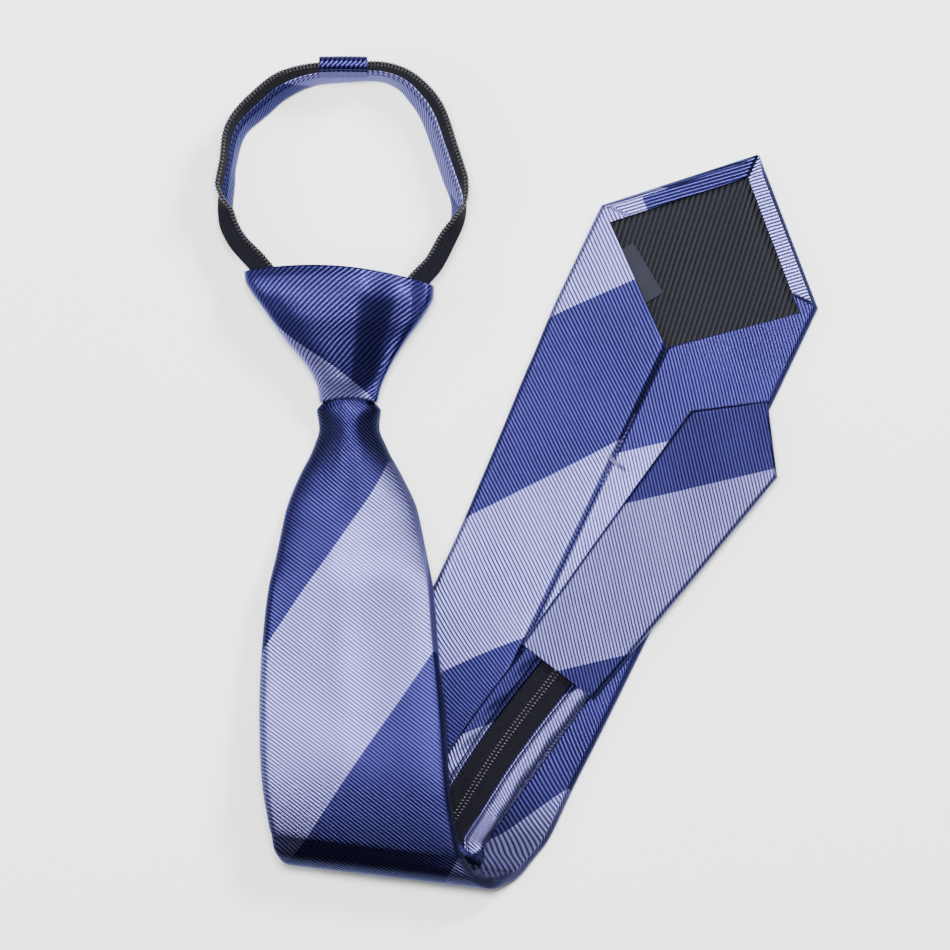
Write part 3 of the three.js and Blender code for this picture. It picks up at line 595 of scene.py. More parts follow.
def wideBladeRows():
    wide = sizes["bladeWidth"]
    front = []
    for row in layRows:
        turn = row["turn"] * sizes["foldTurn"]
        # painted shade: the front is painted darker towards the bend
        shade = 1 - wideBlade["bendShade"] * ease(*wideBlade["bendShadeFrom"], row["down"])
        front.append(bladeStation(
            (row["shift"] * wide, -row["down"] * sizes["hang"], frontFace(row)), row["half"] * wide, turn,
            flat=row["flat"] * wide, droop=row["droop"] * sizes["droop"], ridge=row["ridge"],
            skew=wideBlade["patternTilt"] + turn, front=1, shade=shade))
    front = smoothRows(front, wideBlade["stepsPerRow"])
    top = front[-1]
    lower = [top]
    for row in bendRows:
        # the bend is painted in the deepest shade
        lower.append(bladeStation(
            (row["shift"] * wide, -row["down"] * sizes["hang"], row["rise"] * top["z"]),
            row["half"] * wide, sizes["foldTurn"], flat=row["flat"] * wide,
            droop=row["droop"] * sizes["droop"], skew=row["skew"], shade=1 - wideBlade["bendShade"]))
    for row in rearRows:
        turn = mix(sizes["foldTurn"], sizes["rearTurn"], row["turn"])
        # painted shade: the rear is painted darker near the bend
        shade = 1 - wideBlade["rearShade"] * ease(*wideBlade["rearShadeFrom"], row["back"])
        lower.append(bladeStation(onRearBlade(row["back"] * sizes["rear"], 0), row["half"] * wide, turn,
                                  skew=sizes["rearTurn"] - turn, shade=shade))
    nearTip = []
    flapDepth = sizes["mouth"] - sizes["point"]
    hemCorner = (sizes["mouth"] / flapDepth + sizes["hem"] * math.sqrt(2) / (wide / 2)) / (
        1 / sizes["point"] + 1 / flapDepth)
    hemMitre = sizes["hem"] * math.sqrt(2) * sizes["point"] / (wide / 2)
    stops = [sizes["mouth"] * 1.3, sizes["mouth"], hemCorner, sizes["point"], hemMitre, 0.5]
    for start, end in zip(stops, stops[1:]):
        count = max(round((start - end) / wideBlade["tipStep"]), 2)
        nearTip += [mix(start, end, k / count) for k in range(count)]
    nearTip.append(stops[-1])
    tip = []
    for back in nearTip:
        half = pointHalf(back) if back < sizes["mouth"] else mix(
            pointHalf(back), rearRows[-1]["half"] * wide, ease(sizes["mouth"], sizes["rear"] * 0.4, back))
        tip.append(bladeStation(onRearBlade(back, 0), half, sizes["rearTurn"],
                                open=mouthHalf(back), back=back))
    return front + smoothRows(lower, wideBlade["stepsPerRow"])[1:] + tip


def allColumns(columns):
    flaps, edges, faces = columns
    return 2 * flaps + 2 * edges + faces


def foldedSection(row, share, thick, columns):
    # one folded layer: from the lip of the left flap round the face to the lip of the right one
    flaps, edges, faces = columns
    total = allColumns(columns)
    column = share * total
    half = row["half"]
    roll = min(thick / 2, half * 0.35)
    inner = half - roll
    stretch = row["flat"] / half
    lip = min(max(row["open"], sizes["seam"] / 2), max(inner - 0.4, inner * 0.6))
    hand = -1 if column < total / 2 else 1
    fromEnd = min(column, total - column)
    if fromEnd >= flaps + edges:
        x = inner * (2 * (column - flaps - edges) / faces - 1)
        return x, 0, x * stretch, 0
    if fromEnd >= flaps:
        angle = math.pi * (1 - (fromEnd - flaps) / edges)
        return (hand * (inner + roll * math.sin(angle)), roll * (math.cos(angle) - 1),
                hand * (inner * stretch + roll * angle), roll * angle)
    reach = (inner - lip) * (1 - fromEnd / flaps)
    turnedIn = math.pi * roll + reach
    return hand * (inner - reach), -thick, hand * (inner * stretch + turnedIn), turnedIn


def wideBladeSection(row, share):
    x, high, flatAcross, turnedIn = foldedSection(row, share, bladeThick, wideBlade["columns"])
    side = x / row["half"]
    onFlap = high <= -bladeThick
    if not onFlap:
        fade = max(0, 1 + high / bladeThick)
        ridge = wideBlade["ridgeHeight"] * bell(side, wideBlade["ridgePlace"], wideBlade["ridgeWidth"])
        high += row["ridge"] * fade * (ridge - wideBlade["roundness"] * side ** 2)
        wave = sum(spot["rise"] * bell(side, spot["across"], spot["width"]) for spot in waves)
        high += (row["front"] * fade * wideBlade["wave"] * wave
                 * bell(row["y"], wideBlade["waveDown"], wideBlade["waveLength"]))
    # painted shade in the hollows beside the pleat under the knot, and on the side that turns from the light
    hollowShade = sum(spot["depth"] * bell(side, spot["across"], spot["width"])
                 * bell(row["y"], spot["down"], spot["length"]) for spot in hollowShades)
    paintedShade = max(row["shade"] - row["front"] * wideBlade["foldShade"] * hollowShade, wideBlade["deepest"])
    high -= row["droop"] * side ** 4 + row["ridge"] * wideBlade["fall"] * side ** 2
    if onFlap and abs(x) < wideBlade["seamReach"] and row["open"] < 1:
        high += wideBlade["seamDip"] * (1 - abs(x) / wideBlade["seamReach"]) ** 2
    if onFlap and row["back"] < sizes["point"]:
        # a hem is the point's cloth folded back over its edge
        slope = sizes["bladeWidth"] / 2 / sizes["point"]
        flatAcross = math.copysign(row["back"] * slope, x)
        shift = wideBlade["hemShiftLeft"] if x < 0 else wideBlade["hemShiftRight"]
        return x, high, flatAcross, abs(x) / slope - row["back"] - shift, paintedShade
    if x < 0:
        return x, high, flatAcross, turnedIn * wideBlade["flapSkewLeft"], paintedShade
    shift = wideBlade["flapShiftRight"] * ease(0, math.pi * bladeThick / 2, turnedIn)
    return x, high, flatAcross, turnedIn * wideBlade["flapSkewRight"] + shift, paintedShade


def makeWideBlade():
    piece = layCloth("wideBlade", wideBladeRows(), allColumns(wideBlade["columns"]), wideBladeSection)
    addWall(piece, wideBlade["wall"])
    dress(piece, silkMaterial("silkBlade"), "silk_navy", "blade")


makeWideBlade()
print("wide blade is made")


# The tipping and the bare label in the open point

def flatSheet(name, corner, wide, long, columns, rows, place, flatten=lambda u, v: Vector((u, v))):
    # place(across, along) gives a point in millimetres for a place on the flat cloth
    bm = bmesh.new()
    bmesh.ops.create_grid(bm, x_segments=columns, y_segments=rows, size=0.5)
    flatPlace = {}
    for vert in bm.verts:
        u = corner[0] + (vert.co.x + 0.5) * wide
        v = corner[1] + (vert.co.y + 0.5) * long
        flatPlace[vert] = flatten(u, v)
        vert.co = place(u, v) * mm + knotFoot
    bm.normal_update()
    if sum(face.normal.z for face in bm.faces) < 0:
        bmesh.ops.reverse_faces(bm, faces=bm.faces)
    return finishCloth(name, bm, flatPlace, False)


tippingCloth = {
    "from": 5, "to": 96,  # millimetres back from the blade's tip
    "clearEdge": 2.6, "clearPoint": 2.4, "height": 2.2, "wall": 0.6,
    "sag": 0.35, "rim": 0.7, "rimFrom": 0.75,
    "filled": 0.9,  # the share of its rectangle that the pointed cloth fills
}


def makeTipping():
    half = sizes["bladeWidth"] / 2 - tippingCloth["clearEdge"]
    near = tippingCloth["from"]
    long = tippingCloth["to"] - near

    def fit(v):
        return min(pointHalf(v) - tippingCloth["clearPoint"], half) / half

    def place(u, v):
        sag = tippingCloth["sag"] * math.sin(u * 0.16 + 1) * math.sin(v * 0.11)
        rim = tippingCloth["rim"] * ease(tippingCloth["rimFrom"], 1, abs(u) / half)
        return onRearBlade(v, u * fit(v), tippingCloth["height"] + sag + rim)

    piece = flatSheet("tippingCloth", (-half, near), 2 * half, long, 64, 80, place,
                      flatten=lambda u, v: Vector((u * fit(v), v)))
    addWall(piece, tippingCloth["wall"])
    dress(piece, tippingMaterial(), "tipping_slate", "tipping")


labelTape = {
    "length": 19.5, "width": 5.6, "tuck": 2.4, "wall": 0.45, "rim": 0.12,
    "place": 0.5, "spread": -6.5, "height": 3.3, "dip": 0.5, "wave": 0.12,
}


def makeLabel():
    # a folded end of woven tape that looks out from under the left flap
    back = mix(sizes["point"], sizes["mouth"], labelTape["place"])
    run = Vector((sizes["mouth"] - sizes["point"], sizes["bladeWidth"] / 2)).normalized()
    edge = -run.x * rearHeading + run.y * rearSide
    beside = up.cross(edge)
    middle = onRearBlade(back, -mouthHalf(back))
    half = labelTape["length"] / 2

    def place(u, v):
        lean = math.radians(labelTape["spread"])
        out = u * math.cos(lean) - v * math.sin(lean)
        along = u * math.sin(lean) + v * math.cos(lean)
        height = (labelTape["height"] - labelTape["dip"] * ease(0, labelTape["width"], u)
                  + labelTape["wave"] * math.sin(v * 0.5))
        return middle + out * beside + along * edge + height * up

    piece = flatSheet("labelTape", (-labelTape["tuck"], -half), labelTape["width"] + labelTape["tuck"],
                      labelTape["length"], 14, 30, place)
    addWall(piece, labelTape["wall"])
    rim = piece.modifiers.new("rim", "BEVEL")
    rim.width = labelTape["rim"] * mm
    rim.segments = 2
    dress(piece, labelMaterial(), "label_cloth", "label")


makeTipping()
makeLabel()
print("tipping and label are made")


# The tail: its zip strip runs hidden under the wide blade, turns, and shows on the rear blade

tailBendRows = table("shift down drop", (0.375, 0.944, 0.15), (0.395, 0.95, 0.5), (0.4, 0.94, 0.86),
                     (0.398, 0.915, 1))
shownRows = table("share turned", (0.2, 0.44), (0.45, 0.99), (0.72, 1), (1, 1))
tailHeading = headed(sizes["tailLean"])
tailMouth = (Vector((tailBendRows[-1]["shift"] * sizes["bladeWidth"],
                     -tailBendRows[-1]["down"] * sizes["hang"], 0))
             + sizes["tailRun"] * headed(sizes["tailRunLean"]))


def stripRows(steps):
    wide = sizes["bladeWidth"]
    low = onRear + sizes["band"] / 2
    rows = [{
        "x": row["tailShift"] * wide, "y": -row["down"] * sizes["hang"],
        "z": tailUnder(row) + sizes["band"] / 2,
        "turn": max(0, row["spread"]) ** 2 * sizes["tailBendTurn"], "gather": row["gather"], "shown": 0,
    } for row in layRows]
    for row in tailBendRows:
        rows.append({"x": row["shift"] * wide, "y": -row["down"] * sizes["hang"],
                     "z": low + (1 - row["drop"]) * sizes["bendDrop"],
                     "turn": sizes["tailBendTurn"], "gather": 1, "shown": 0})
    start = rows[-1]
    for row in shownRows:
        rows.append({
            "x": mix(start["x"], tailMouth.x, row["share"])
            - sizes["tailRunBow"] * math.sin(math.pi * row["share"]),
            "y": mix(start["y"], tailMouth.y, row["share"]), "z": low,
            "turn": mix(sizes["tailBendTurn"], sizes["tailLean"], row["turned"]), "gather": 1, "shown": 1,
        })
    end = tailMouth + sizes["stripOverlap"] * tailHeading
    rows.append({"x": end.x, "y": end.y, "z": low, "turn": sizes["tailLean"], "gather": 1, "shown": 1})
    return smoothRows(rows, steps)


def ringPoint(share, near, far, high, power):
    # a point on a rounded flat ring, its far end first, over the top and back below
    angle = 2 * math.pi * share
    return mix(near, far, (1 + bent(math.cos(angle), power)) / 2), high * bent(math.sin(angle), power)


coilHalf = sizes["coilWidth"] / 2
bandNear = coilHalf + sizes["gap"] + sizes["tapeWidth"] + sizes["gap"]
bandFar = bandNear + sizes["bandWidth"]
welt = {
    "columns": 84, "tuck": 0.2, "width": 1.5, "crest": 0.675, "rise": 0.35, "seam": 0.55, "seamWidth": 0.28,
    "puff": 0.35, "puffPlace": 0.66, "puffWidth": 0.24, "ripple": 0.12, "corners": 0.62,
}
stripTape = {"columns": 40, "tuck": 0.1, "corners": 0.3, "edgeRise": 0.12, "edge": 0.5}
strip = {"stepsPerRow": 14, "coilSteps": 8, "turn": 103.5, "shift": 72.4, "bendDrift": 26}


def makeTailBand(name, hand):
    rows = stripRows(strip["stepsPerRow"])
    high = sizes["band"] / 2
    wide = sizes["bandWidth"]

    def section(row, share):
        reach, z = ringPoint(share, bandNear - welt["tuck"], bandFar, high, welt["corners"])
        inBand = reach - bandNear
        flat = reach if z < 0 else 2 * bandFar - reach
        if z < 0:
            relief = welt["rise"] * bell(inBand, welt["crest"], welt["crest"])
            relief -= welt["seam"] * bell(inBand, welt["width"], welt["seamWidth"])
            relief += welt["puff"] * bell(inBand, wide * welt["puffPlace"], wide * welt["puffWidth"])
            ripple = welt["ripple"] * row["shown"] * math.sin(row["y"] * 0.5 + reach)
            relief += ripple * bell(inBand, wide / 2, wide / 3)
            z -= relief
        return hand * reach * row["gather"], z, hand * flat, strip["bendDrift"] * (1 - row["shown"])

    piece = layCloth(f"tailBand{name}", rows, welt["columns"], section, closed=True)
    # the band's silk is painted darker by its tone, as painted shade
    silkOfBand = silkMaterial(f"silkTailBand{name}", strip["turn"], strip["shift"], tone=0.62)
    dress(piece, silkOfBand, "silk_navy", f"tail_band_{name.lower()}")


def makeTailTape():
    rows = stripRows(strip["stepsPerRow"])

    def section(row, share):
        far = bandNear - stripTape["tuck"]
        reach, z = ringPoint(share, -far, far, sizes["tape"] / 2, stripTape["corners"])
        z += stripTape["edgeRise"] * bell(abs(reach), coilHalf + stripTape["edge"], stripTape["edge"])
        return reach * row["gather"], z, reach, 0

    piece = layCloth("tailTape", rows, stripTape["columns"], section, closed=True)
    dress(piece, tapeMaterial(), "tape_black", "tail_tape_left", "tail_tape_right")


def evenFrames(frames, pitch, start):
    # places at an even pitch along the stations, each with its own axes
    places = []
    walked = -start
    for a, b in zip(frames, frames[1:]):
        step = (b["middle"] - a["middle"]).length
        while walked <= step:
            if walked >= 0 and step > 0:
                f = walked / step
                place = {key: a[key].lerp(b[key], f) for key in ("middle", "side", "normal", "heading")}
                place["gather"] = mix(a.get("gather", 1), b.get("gather", 1), f)
                places.append(place)
            walked += pitch
        walked -= step
    return places


def addTooth(bm, place, aside, high, size):
    # a rounded tooth, its size given along the side, the heading and the normal
    made = bmesh.ops.create_icosphere(bm, subdivisions=1, radius=1)
    middle = place["middle"] + aside * place["side"] + high * place["normal"]
    for vert in made["verts"]:
        x, y, z = vert.co
        spot = (middle + x * size[0] * place["side"] + y * size[1] * place["heading"]
                + z * size[2] * place["normal"])
        vert.co = spot * mm + knotFoot


def roundPiece(name, bm):
    for face in bm.faces:
        face.smooth = True
    return pieceFrom(name, bm)


coilLook = {
    "pitch": 1.2, "reach": 0.95, "along": 0.5, "rise": 0.72, "apart": 0.72, "sink": 0.35,
    "openStart": 0.4, "openAlong": 0.52, "openRise": 0.92,  # of the opened coils of the neck loop
}


def makeTailCoil(material):
    rows = stripRows(strip["coilSteps"])
    frames = stationFrames(rows)
    for station, row in zip(frames, rows):
        station["gather"] = row["gather"]
    bm = bmesh.new()
    for hand in (-1, 1):
        start = 0 if hand < 0 else coilLook["pitch"] / 2
        for place in evenFrames(frames, coilLook["pitch"], start):
            gather = place["gather"]
            addTooth(bm, place, hand * coilLook["apart"] * gather, -coilLook["sink"],
                     (coilLook["reach"] * gather, coilLook["along"], coilLook["rise"]))
    dress(roundPiece("tailCoil", bm), material, "coil_black", "tail_coil")


makeTailBand("Left", -1)
makeTailBand("Right", 1)
makeTailTape()
nylon = coilMaterial()
makeTailCoil(nylon)
print("zip strip is made")


# The small blade at the end of the tail, and the bar tack that its side lies beside

tailThick = 2 * sizes["cloth"] + sizes["tailPocket"]
tailFace = onRear + sizes["band"] + sizes["gap"] + sizes["cloth"]
tailPoint = sizes["tailWidth"] / 2
tailMouthWidth = 2 * bandFar + 2 * (sizes["cloth"] + 2 * sizes["gap"])
tailRows = table("along spread open", (0, 0, 1), (0.05, 0, 1), (0.105, 0.1, 1),
                 (0.21, 0.2, 0), (0.5, 0.52, 0), (1, 1, 0))
tailLook = {
    "cutFrom": (80, 120), "wall": 0.8, "columns": (12, 6, 44), "stepsPerRow": 18,
    "pointSteps": 24, "pointReach": 0.985,  # how near the tip the last row comes
    "wave": 0.22, "waveWidth": 0.7, "hem": 0.25, "hemPlace": 0.5, "hemWidth": 1.2,
    # the tail's stripes, and its tone, which paints its silk darker as shade
    "turn": 95.5, "shift": 82.7, "tone": 0.52,
}


def makeTailBlade():
    long = sizes["tailLength"]
    rows = smoothRows([{
        "along": row["along"] * (long - tailPoint),
        "half": mix(tailMouthWidth, sizes["tailWidth"], row["spread"]) / 2,
        "open": row["open"] * tailMouthWidth,
    } for row in tailRows], tailLook["stepsPerRow"])
    for k in range(1, tailLook["pointSteps"] + 1):
        share = 1 - k / tailLook["pointSteps"] * tailLook["pointReach"]
        rows.append({"along": long - share * tailPoint, "half": share * sizes["tailWidth"] / 2, "open": 0})
    for row in rows:
        spot = tailMouth + row["along"] * tailHeading
        row.update({"x": spot.x, "y": spot.y, "z": tailFace, "turn": sizes["tailLean"],
                    "flat": row["half"]})

    def section(row, share):
        x, high, flatAcross, _ = foldedSection(row, share, tailThick, tailLook["columns"])
        side = x / row["half"]
        if high > -tailThick:
            fade = max(0, 1 + high / tailThick)
            wave = tailLook["wave"] * math.sin(row["along"] * 0.16 + side * 1.5)
            hem = tailLook["hem"] * bell(row["along"], tailLook["hemPlace"], tailLook["hemWidth"])
            high += fade * (wave * bell(side, 0, tailLook["waveWidth"]) - hem)
        return x, high, flatAcross, 0

    piece = layCloth("tailBlade", rows, allColumns(tailLook["columns"]), section, lying=True)
    addWall(piece, tailLook["wall"])
    silkOfTail = silkMaterial("silkTailBlade", tailLook["turn"], tailLook["shift"], tone=tailLook["tone"])
    dress(piece, silkOfTail, "silk_lavender", "tail_blade")


tack = {
    "from": (606.5, 455.5), "to": (627, 472),  # its ends' pixels in the photo
    "strands": 5, "apart": 0.28, "radius": 0.16, "uneven": 0.3,
}


def makeBarTack():
    # strands of thread that hold the two flaps together over the seam
    start = fromPixel(*tack["from"])
    end = fromPixel(*tack["to"])
    side = (end - start).normalized()
    heading = up.cross(side)
    bm = bmesh.new()
    for k in range(tack["strands"]):
        aside = (k - (tack["strands"] - 1) / 2) * tack["apart"]
        middle = (start + end) / 2 + aside * heading + (bladeThick + tack["radius"]) * up
        place = {"middle": middle, "side": side, "heading": heading, "normal": up}
        size = ((end - start).length / 2, tack["radius"], tack["radius"])
        addTooth(bm, place, tack["uneven"] * math.sin(2.4 * k), 0, size)
    thread = plainMaterial("tackThread", srgb(26, 26, 60), srgb(96, 96, 150), 0.4, 2500, 0.03)
    dress(roundPiece("barTack", bm), thread, "silk_navy")


makeTailBlade()
makeBarTack()
print("tail blade and bar tack are made")


# The knot's sleeve of cloth

knotRows = table(
    "up left right deep turn crown",
    (0.02, 0.152, 0.152, 0.6, 0, 0.3), (0.1, 0.16, 0.166, 0.64, 0, 0.25),
    (0.25, 0.213, 0.214, 0.74, 0.5, 0.15), (0.45, 0.336, 0.295, 0.86, 2, 0.12),
    (0.64, 0.43, 0.372, 0.96, 4, 0.3), (0.8, 0.505, 0.425, 1, 5.2, 0.6),
    (0.9, 0.538, 0.445, 0.98, 5.8, 0.85), (0.98, 0.545, 0.447, 0.93, 5.8, 1),
)
knotLook = {
    "cutFrom": (170, 80), "columns": 200, "fine": 600, "steps": 12, "lip": 0.7, "lipSteps": 6, "tuck": 26,
    "frontPower": 2 / 3.2, "backPower": 2 / 6, "sink": 1.2, "reliefFrom": (0.3, 0.8),
    # the knot's stripes, its painted shade where it turns, the tone that paints all its silk darker as
    # shade, and its ribs' relief
    "turn": 83.5, "shift": 16.6, "turnedShadeTone": 0.9, "tone": 0.8, "relief": 0.55,
    "sweep": 0.32, "lift": 0.2, "sweepFrom": -35,
    "cornerFrom": 20.5, "cornerTo": 26, "cornerShift": 24,
}
# the slanting fold down the knot's front: its place and half width at the knot's foot and at the top
knotFold = {
    "top": 40, "place": (3, 11), "half": (3.2, 7.2), "from": (-2, 7),
    "rise": 1.2, "run": 26, "step": 2.8, "back": 1.6, "backFrom": 0.7, "backTo": 2.6,
}


def knotRelief(x, y):
    # the front rises towards the fold, steps down across it, and comes back to level
    fold = mix(*knotFold["place"], y / knotFold["top"])
    half = mix(*knotFold["half"], y / knotFold["top"])
    before = knotFold["rise"] * ease(fold - half - knotFold["run"], fold - half, x)
    step = knotFold["step"] * ease(fold - half, fold + half, x)
    after = knotFold["back"] * ease(
        fold + half * knotFold["backFrom"], fold + half * knotFold["backTo"], x)
    return ease(*knotFold["from"], y) * (before - step + after)


def makeKnot():
    base = smoothRows(knotRows, knotLook["steps"])
    rows = []
    lip = knotLook["lip"]

    def lipRows(inwards, way):
        # the cloth turns over its end row and goes back inside along the rows before it
        made = []
        for k in range(1, knotLook["lipSteps"] + 1):
            angle = math.pi * k / knotLook["lipSteps"]
            made.append(dict(inwards[0], inset=lip * (1 - math.cos(angle)), out=way * lip * math.sin(angle)))
        for row in inwards[2:knotLook["tuck"]:2]:
            made.append(dict(row, inset=2 * lip, out=0))
        return made

    for row in base:
        rows.append(dict(row, inset=0, out=0))
    rows = list(reversed(lipRows(base, -1))) + rows + lipRows(base[::-1], 1)
    wide = sizes["knotWidth"]
    for row in rows:
        row["y"] = row["up"] * sizes["knotHeight"] + row["out"]

    def ringAt(row, share):
        # the seam of the ring lies in the middle of the back, and its flat cloth is that of the
        # plain ring without the folds
        angle = 2 * math.pi * share - math.pi / 2
        power = knotLook["frontPower"] if math.sin(angle) > 0 else knotLook["backPower"]
        left = row["left"] * wide - row["inset"]
        right = row["right"] * wide - row["inset"]
        x = mix(-left, right, (1 + bent(math.cos(angle), power)) / 2)
        z = mix(row["inset"], row["deep"] * sizes["knotDepth"] - row["inset"],
                (1 + bent(math.sin(angle), power)) / 2)
        y = row["y"] - row["crown"] * sizes["knotCrown"] * (x / max(left, right)) ** 2
        plain = Vector((x, y, z))
        z += ease(*knotLook["reliefFrom"], math.sin(angle)) * (knotRelief(x, y) - knotLook["sink"])
        return Vector((0, y, z)) + x * across(row["turn"]), plain

    def evenRing(row):
        # the ring's points at even steps, each with its place across the flat cloth
        fine = knotLook["fine"]
        points = [ringAt(row, k / fine) for k in range(fine + 1)]
        walked = [0]
        for (_, before), (_, after) in zip(points, points[1:]):
            walked.append(walked[-1] + (after - before).length)
        centre = walked[fine // 2] - points[fine // 2][1].x
        ring = []
        i = 0
        for k in range(columns + 1):
            goal = walked[-1] * k / columns
            while i < fine - 1 and walked[i + 1] < goal:
                i += 1
            f = (goal - walked[i]) / (walked[i + 1] - walked[i])
            ring.append((points[i][0].lerp(points[i + 1][0], min(f, 1)), goal - centre))
        return ring

    columns = knotLook["columns"]
    rings = [evenRing(row) for row in rows]
    bm = bmesh.new()
    bmesh.ops.create_grid(bm, x_segments=columns, y_segments=len(rows) - 1, size=0.5)
    grain = math.radians(silk["grain"] + knotLook["turn"])
    alongStripes = Vector((math.sin(grain), math.cos(grain)))
    acrossStripes = Vector((math.cos(grain), -math.sin(grain)))
    flatPlace = {}
    for vert in bm.verts:
        index = round((vert.co.y + 0.5) * (len(rows) - 1))
        place, flatAcross = rings[index][round((vert.co.x + 0.5) * columns)]
        # the cloth is drawn round aslant, so its ribs sweep round towards the right
        inward = max(place.x - knotLook["sweepFrom"], 0) / wide
        swept = inward ** 2 * knotLook["sweep"] * wide / 2 + inward * knotLook["lift"] * place.y
        corner = knotLook["cornerShift"] * ease(knotLook["cornerFrom"], knotLook["cornerTo"], place.x)
        flatPlace[vert] = Vector((-flatAcross, place.y)) - swept * alongStripes + corner * acrossStripes
        vert.co = place * mm + knotFoot
    bm.normal_update()
    piece = finishCloth("knotSleeve", bm, flatPlace, True, capped=False)
    silkOfKnot = silkMaterial("silkKnot", knotLook["turn"], knotLook["shift"], knotLook["turnedShadeTone"],
                              knotLook["tone"], knotLook["relief"])
    dress(piece, silkOfKnot, "silk_navy", "knot_wrap")


def lacquerSlider():
    # the slider stays the part's own block, hidden in the knot
    lacquer = plainMaterial("sliderLacquer", srgb(14, 14, 16), srgb(40, 40, 44), 0.3, 300, 0.02, 1.0)
    for materialSlot in bpy.data.objects["zip_slider"].material_slots:
        materialSlot.material = lacquer


makeKnot()
lacquerSlider()
print("knot is made")


# The two halves of the neck loop, from the knot to the back of the neck

neckMeet = -0.02
neckRows = {
    "Left": table(
        "x y lift band tape",
        (-0.15, 0.255, 1, 90, 172), (-0.245, 0.295, 1, 90, 172), (-0.32, 0.34, 1, 90, 172),
        (-0.38, 0.392, 0.7, 90, 170), (-0.445, 0.459, 0.3, 84, 166), (-0.468, 0.52, 0, 74, 160),
        (-0.466, 0.566, 0, 68, 140), (-0.463, 0.605, 0, 66, 100), (-0.457, 0.65, 0, 67, 74),
        (-0.452, 0.709, 0, 73, 74), (-0.414, 0.8, 0, 66, 66), (-0.329, 0.86, 0, 59, 60),
        (-0.246, 0.914, 0, 60, 60), (-0.138, 0.953, 0, 67, 67), (neckMeet, 0.964, 0, 73, 73),
    ),
    "Right": table(
        "x y lift band tape",
        (0.11, 0.2, 1, 90, 172), (0.19, 0.235, 1, 90, 172), (0.245, 0.28, 1, 90, 172),
        (0.291, 0.333, 0.8, 90, 170), (0.352, 0.4, 0.3, 84, 166), (0.384, 0.475, 0, 75, 156),
        (0.41, 0.545, 0, 68, 125), (0.408, 0.6, 0, 63, 84), (0.382, 0.652, 0, 60, 64),
        (0.342, 0.74, 0, 60, 62), (0.293, 0.842, 0, 59, 60), (0.245, 0.9, 0, 61, 62),
        (0.192, 0.944, 0, 67, 67), (0.11, 0.967, 0, 71, 71), (neckMeet, 0.964, 0, 73, 73),
    ),
}
neckLook = {
    "steps": 14, "lift": 0.6, "bandThick": 2.2, "bandColumns": 36, "tapeColumns": 24,
    "corners": 0.6, "seam": 0.45, "seamPlace": 1.4, "seamWidth": 0.3,
    "tapeTuck": 0.7, "tapeCorners": 0.35, "underCoil": 0.8,
    # the bands' painted shade where they turn, and the tone that paints their silk darker as shade
    "stripes": {"Left": 18.2, "Right": 51.7}, "turnedShadeTone": 0.7, "tone": 0.75,
}


def leaned(lean, reach):
    return reach * math.cos(math.radians(lean)), reach * math.sin(math.radians(lean))


def neckStations(name):
    hand = -1 if name == "Left" else 1
    rows = smoothRows([dict(
        row, x=row["x"] * sizes["loopWidth"], y=row["y"] * sizes["loopHeight"],
        z=row["lift"] * (onKnotWall + neckLook["lift"])) for row in neckRows[name]],
        neckLook["steps"], ("x", "y"))
    places = [Vector((row["x"], row["y"], row["z"])) for row in rows]
    for i, row in enumerate(rows):
        heading = places[min(i + 1, len(rows) - 1)] - places[max(i - 1, 0)]
        heading.z = 0
        heading.normalize()
        row["heading"] = heading
        row["outward"] = Vector((heading.y, -heading.x, 0)) * hand
        row["middle"] = places[i]
    # the flat cloth starts at the back of the neck
    rows[-1]["walked"] = 0
    for i in range(len(rows) - 2, -1, -1):
        rows[i]["walked"] = rows[i + 1]["walked"] + (places[i + 1] - places[i]).length
    return rows


def neckPlace(row, out, high):
    return row["middle"] + out * row["outward"] + high * up


def makeNeckRibbon(name, part, columns, outline, material, slot):
    # outline(row, share) gives the way out, the height and the place across the flat cloth
    rows = neckStations(name)
    bm = bmesh.new()
    bmesh.ops.create_grid(bm, x_segments=columns, y_segments=len(rows) - 1, size=0.5)
    flatPlace = {}
    for vert in bm.verts:
        share = vert.co.x + 0.5
        row = rows[round((vert.co.y + 0.5) * (len(rows) - 1))]
        out, high, flatAcross = outline(row, share)
        flatPlace[vert] = Vector((flatAcross, row["walked"]))
        vert.co = neckPlace(row, out, high) * mm + knotFoot
    piece = finishCloth(f"neck{part}{name}", bm, flatPlace, True)
    dress(piece, material, slot, f"neck_{part}_{name}".lower())


def barPoint(start, lean, reach, beside):
    # a place on a ribbon's section that leans outwards, as its way out and its height
    out, high = leaned(lean, reach)
    besideOut, besideHigh = leaned(lean + 90, beside)
    return start[0] + out + besideOut, start[1] + high + besideHigh


neckFoot = neckLook["bandThick"] / 2


def tapeStart(row):
    return barPoint((0, neckFoot), row["band"], sizes["neckBand"] + sizes["tape"] / 2 + sizes["gap"], 0)


def bandOutline(row, share):
    reach, beside = ringPoint(share, 0, sizes["neckBand"], neckFoot, neckLook["corners"])
    if beside > 0:
        seamPlace = sizes["neckBand"] - neckLook["seamPlace"]
        beside -= neckLook["seam"] * bell(reach, seamPlace, neckLook["seamWidth"])
    out, high = barPoint((0, neckFoot), row["band"], reach, beside)
    return out, max(high, 0), reach if beside > 0 else -reach


def tapeOutline(row, share):
    far = sizes["neckTape"] + sizes["gap"] + neckLook["underCoil"] * sizes["neckCoil"]
    reach, beside = ringPoint(share, -neckLook["tapeTuck"], far, sizes["tape"] / 2, neckLook["tapeCorners"])
    out, high = barPoint(tapeStart(row), row["tape"], reach, beside)
    return out, high, reach


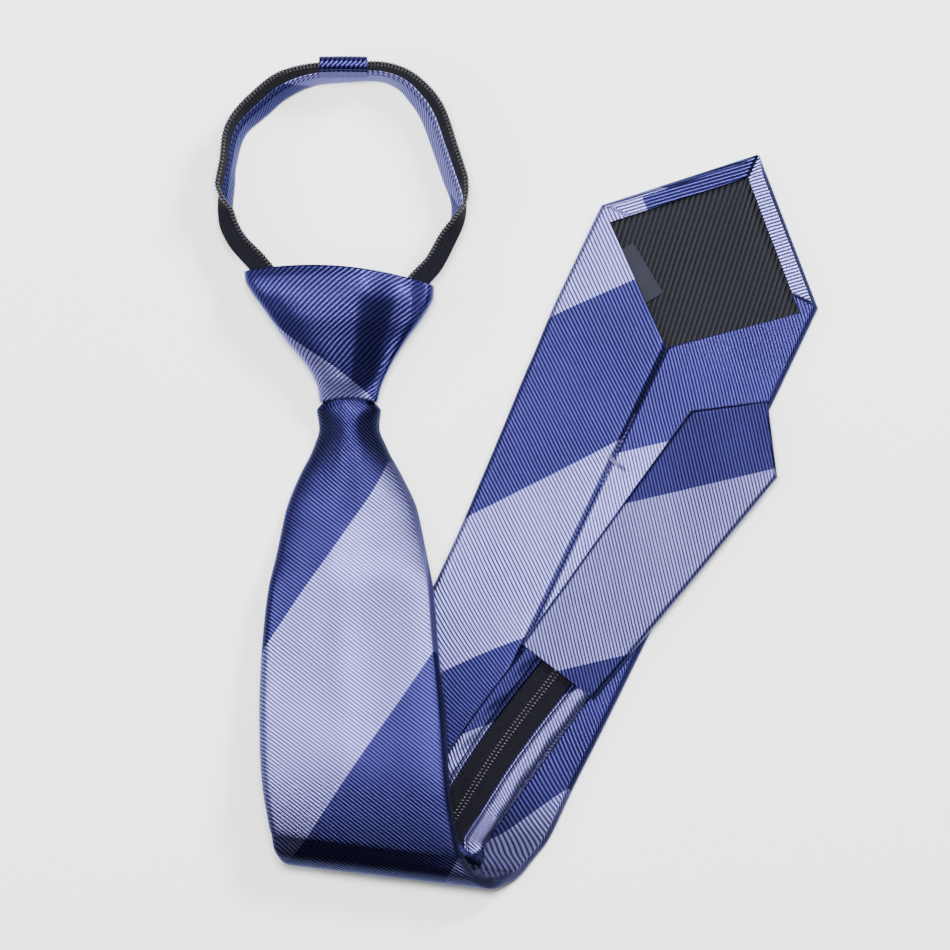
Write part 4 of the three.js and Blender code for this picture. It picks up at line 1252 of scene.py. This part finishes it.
def makeNeckCoil(name, material):
    frames = []
    for row in neckStations(name):
        reach = sizes["neckTape"] + sizes["gap"] + sizes["neckCoil"] / 2
        out, high = barPoint(tapeStart(row), row["tape"], reach, 0)
        side, rise = leaned(row["tape"], 1)
        frames.append({"middle": neckPlace(row, out, high), "heading": row["heading"],
                       "side": side * row["outward"] + rise * up,
                       "normal": -rise * row["outward"] + side * up})
    bm = bmesh.new()
    half = sizes["neckCoil"] / 2
    for place in evenFrames(frames, coilLook["pitch"], coilLook["openStart"]):
        addTooth(bm, place, 0, 0, (half, coilLook["openAlong"], half * coilLook["openRise"]))
    dress(roundPiece(f"neckCoil{name}", bm), material, "coil_black", f"neck_coil_{name.lower()}")


def makeNeckHalf(name):
    silkOfBand = silkMaterial(f"silkNeckBand{name}", 0, neckLook["stripes"][name],
                              neckLook["turnedShadeTone"], neckLook["tone"])
    makeNeckRibbon(name, "Band", neckLook["bandColumns"], bandOutline, silkOfBand, "silk_navy")
    makeNeckRibbon(name, "Tape", neckLook["tapeColumns"], tapeOutline, tapeMaterial(), "tape_black")
    makeNeckCoil(name, nylon)


keeperLook = {"wall": 1.1, "clear": 0.5, "lip": 0.3, "crown": 0.15, "shift": -12.6}


def makeKeeper():
    # a sleeve of cloth from its lip on one side, round the free edges of the tapes, to the other lip
    row = neckStations("Left")[-1]
    start = tapeStart(row)
    lip = keeperLook["lip"]
    inner = sizes["neckCoil"] / 2 + keeperLook["clear"]
    middle = inner + keeperLook["wall"] / 2
    end = sizes["neckTape"] + 2 * sizes["gap"] + sizes["neckCoil"]
    half = sizes["keeper"] / 2
    flat = end - lip
    bend = math.pi * inner

    def place(u, v):
        if u < flat:
            reach, beside = lip + u, -middle
        elif u < flat + bend:
            angle = (u - flat) / bend * math.pi
            reach = end - 2 * lip + middle * math.sin(angle)
            beside = -middle * math.cos(angle)
        else:
            reach, beside = end - (u - flat - bend), middle
        out, high = barPoint(start, row["tape"], reach, beside)
        swell = keeperLook["crown"] * (1 - (v / half) ** 2)
        return row["middle"] + Vector((v, out + swell, high))

    piece = flatSheet("neckKeeper", (0, -half), 2 * flat + bend, 2 * half, 48, 30, place)
    addWall(piece, keeperLook["wall"], 0)
    dress(piece, silkMaterial("silkKeeper", 0, keeperLook["shift"]), "silk_navy", "neck_keeper")


makeNeckHalf("Left")
makeNeckHalf("Right")
makeKeeper()
print("neck loop is made")
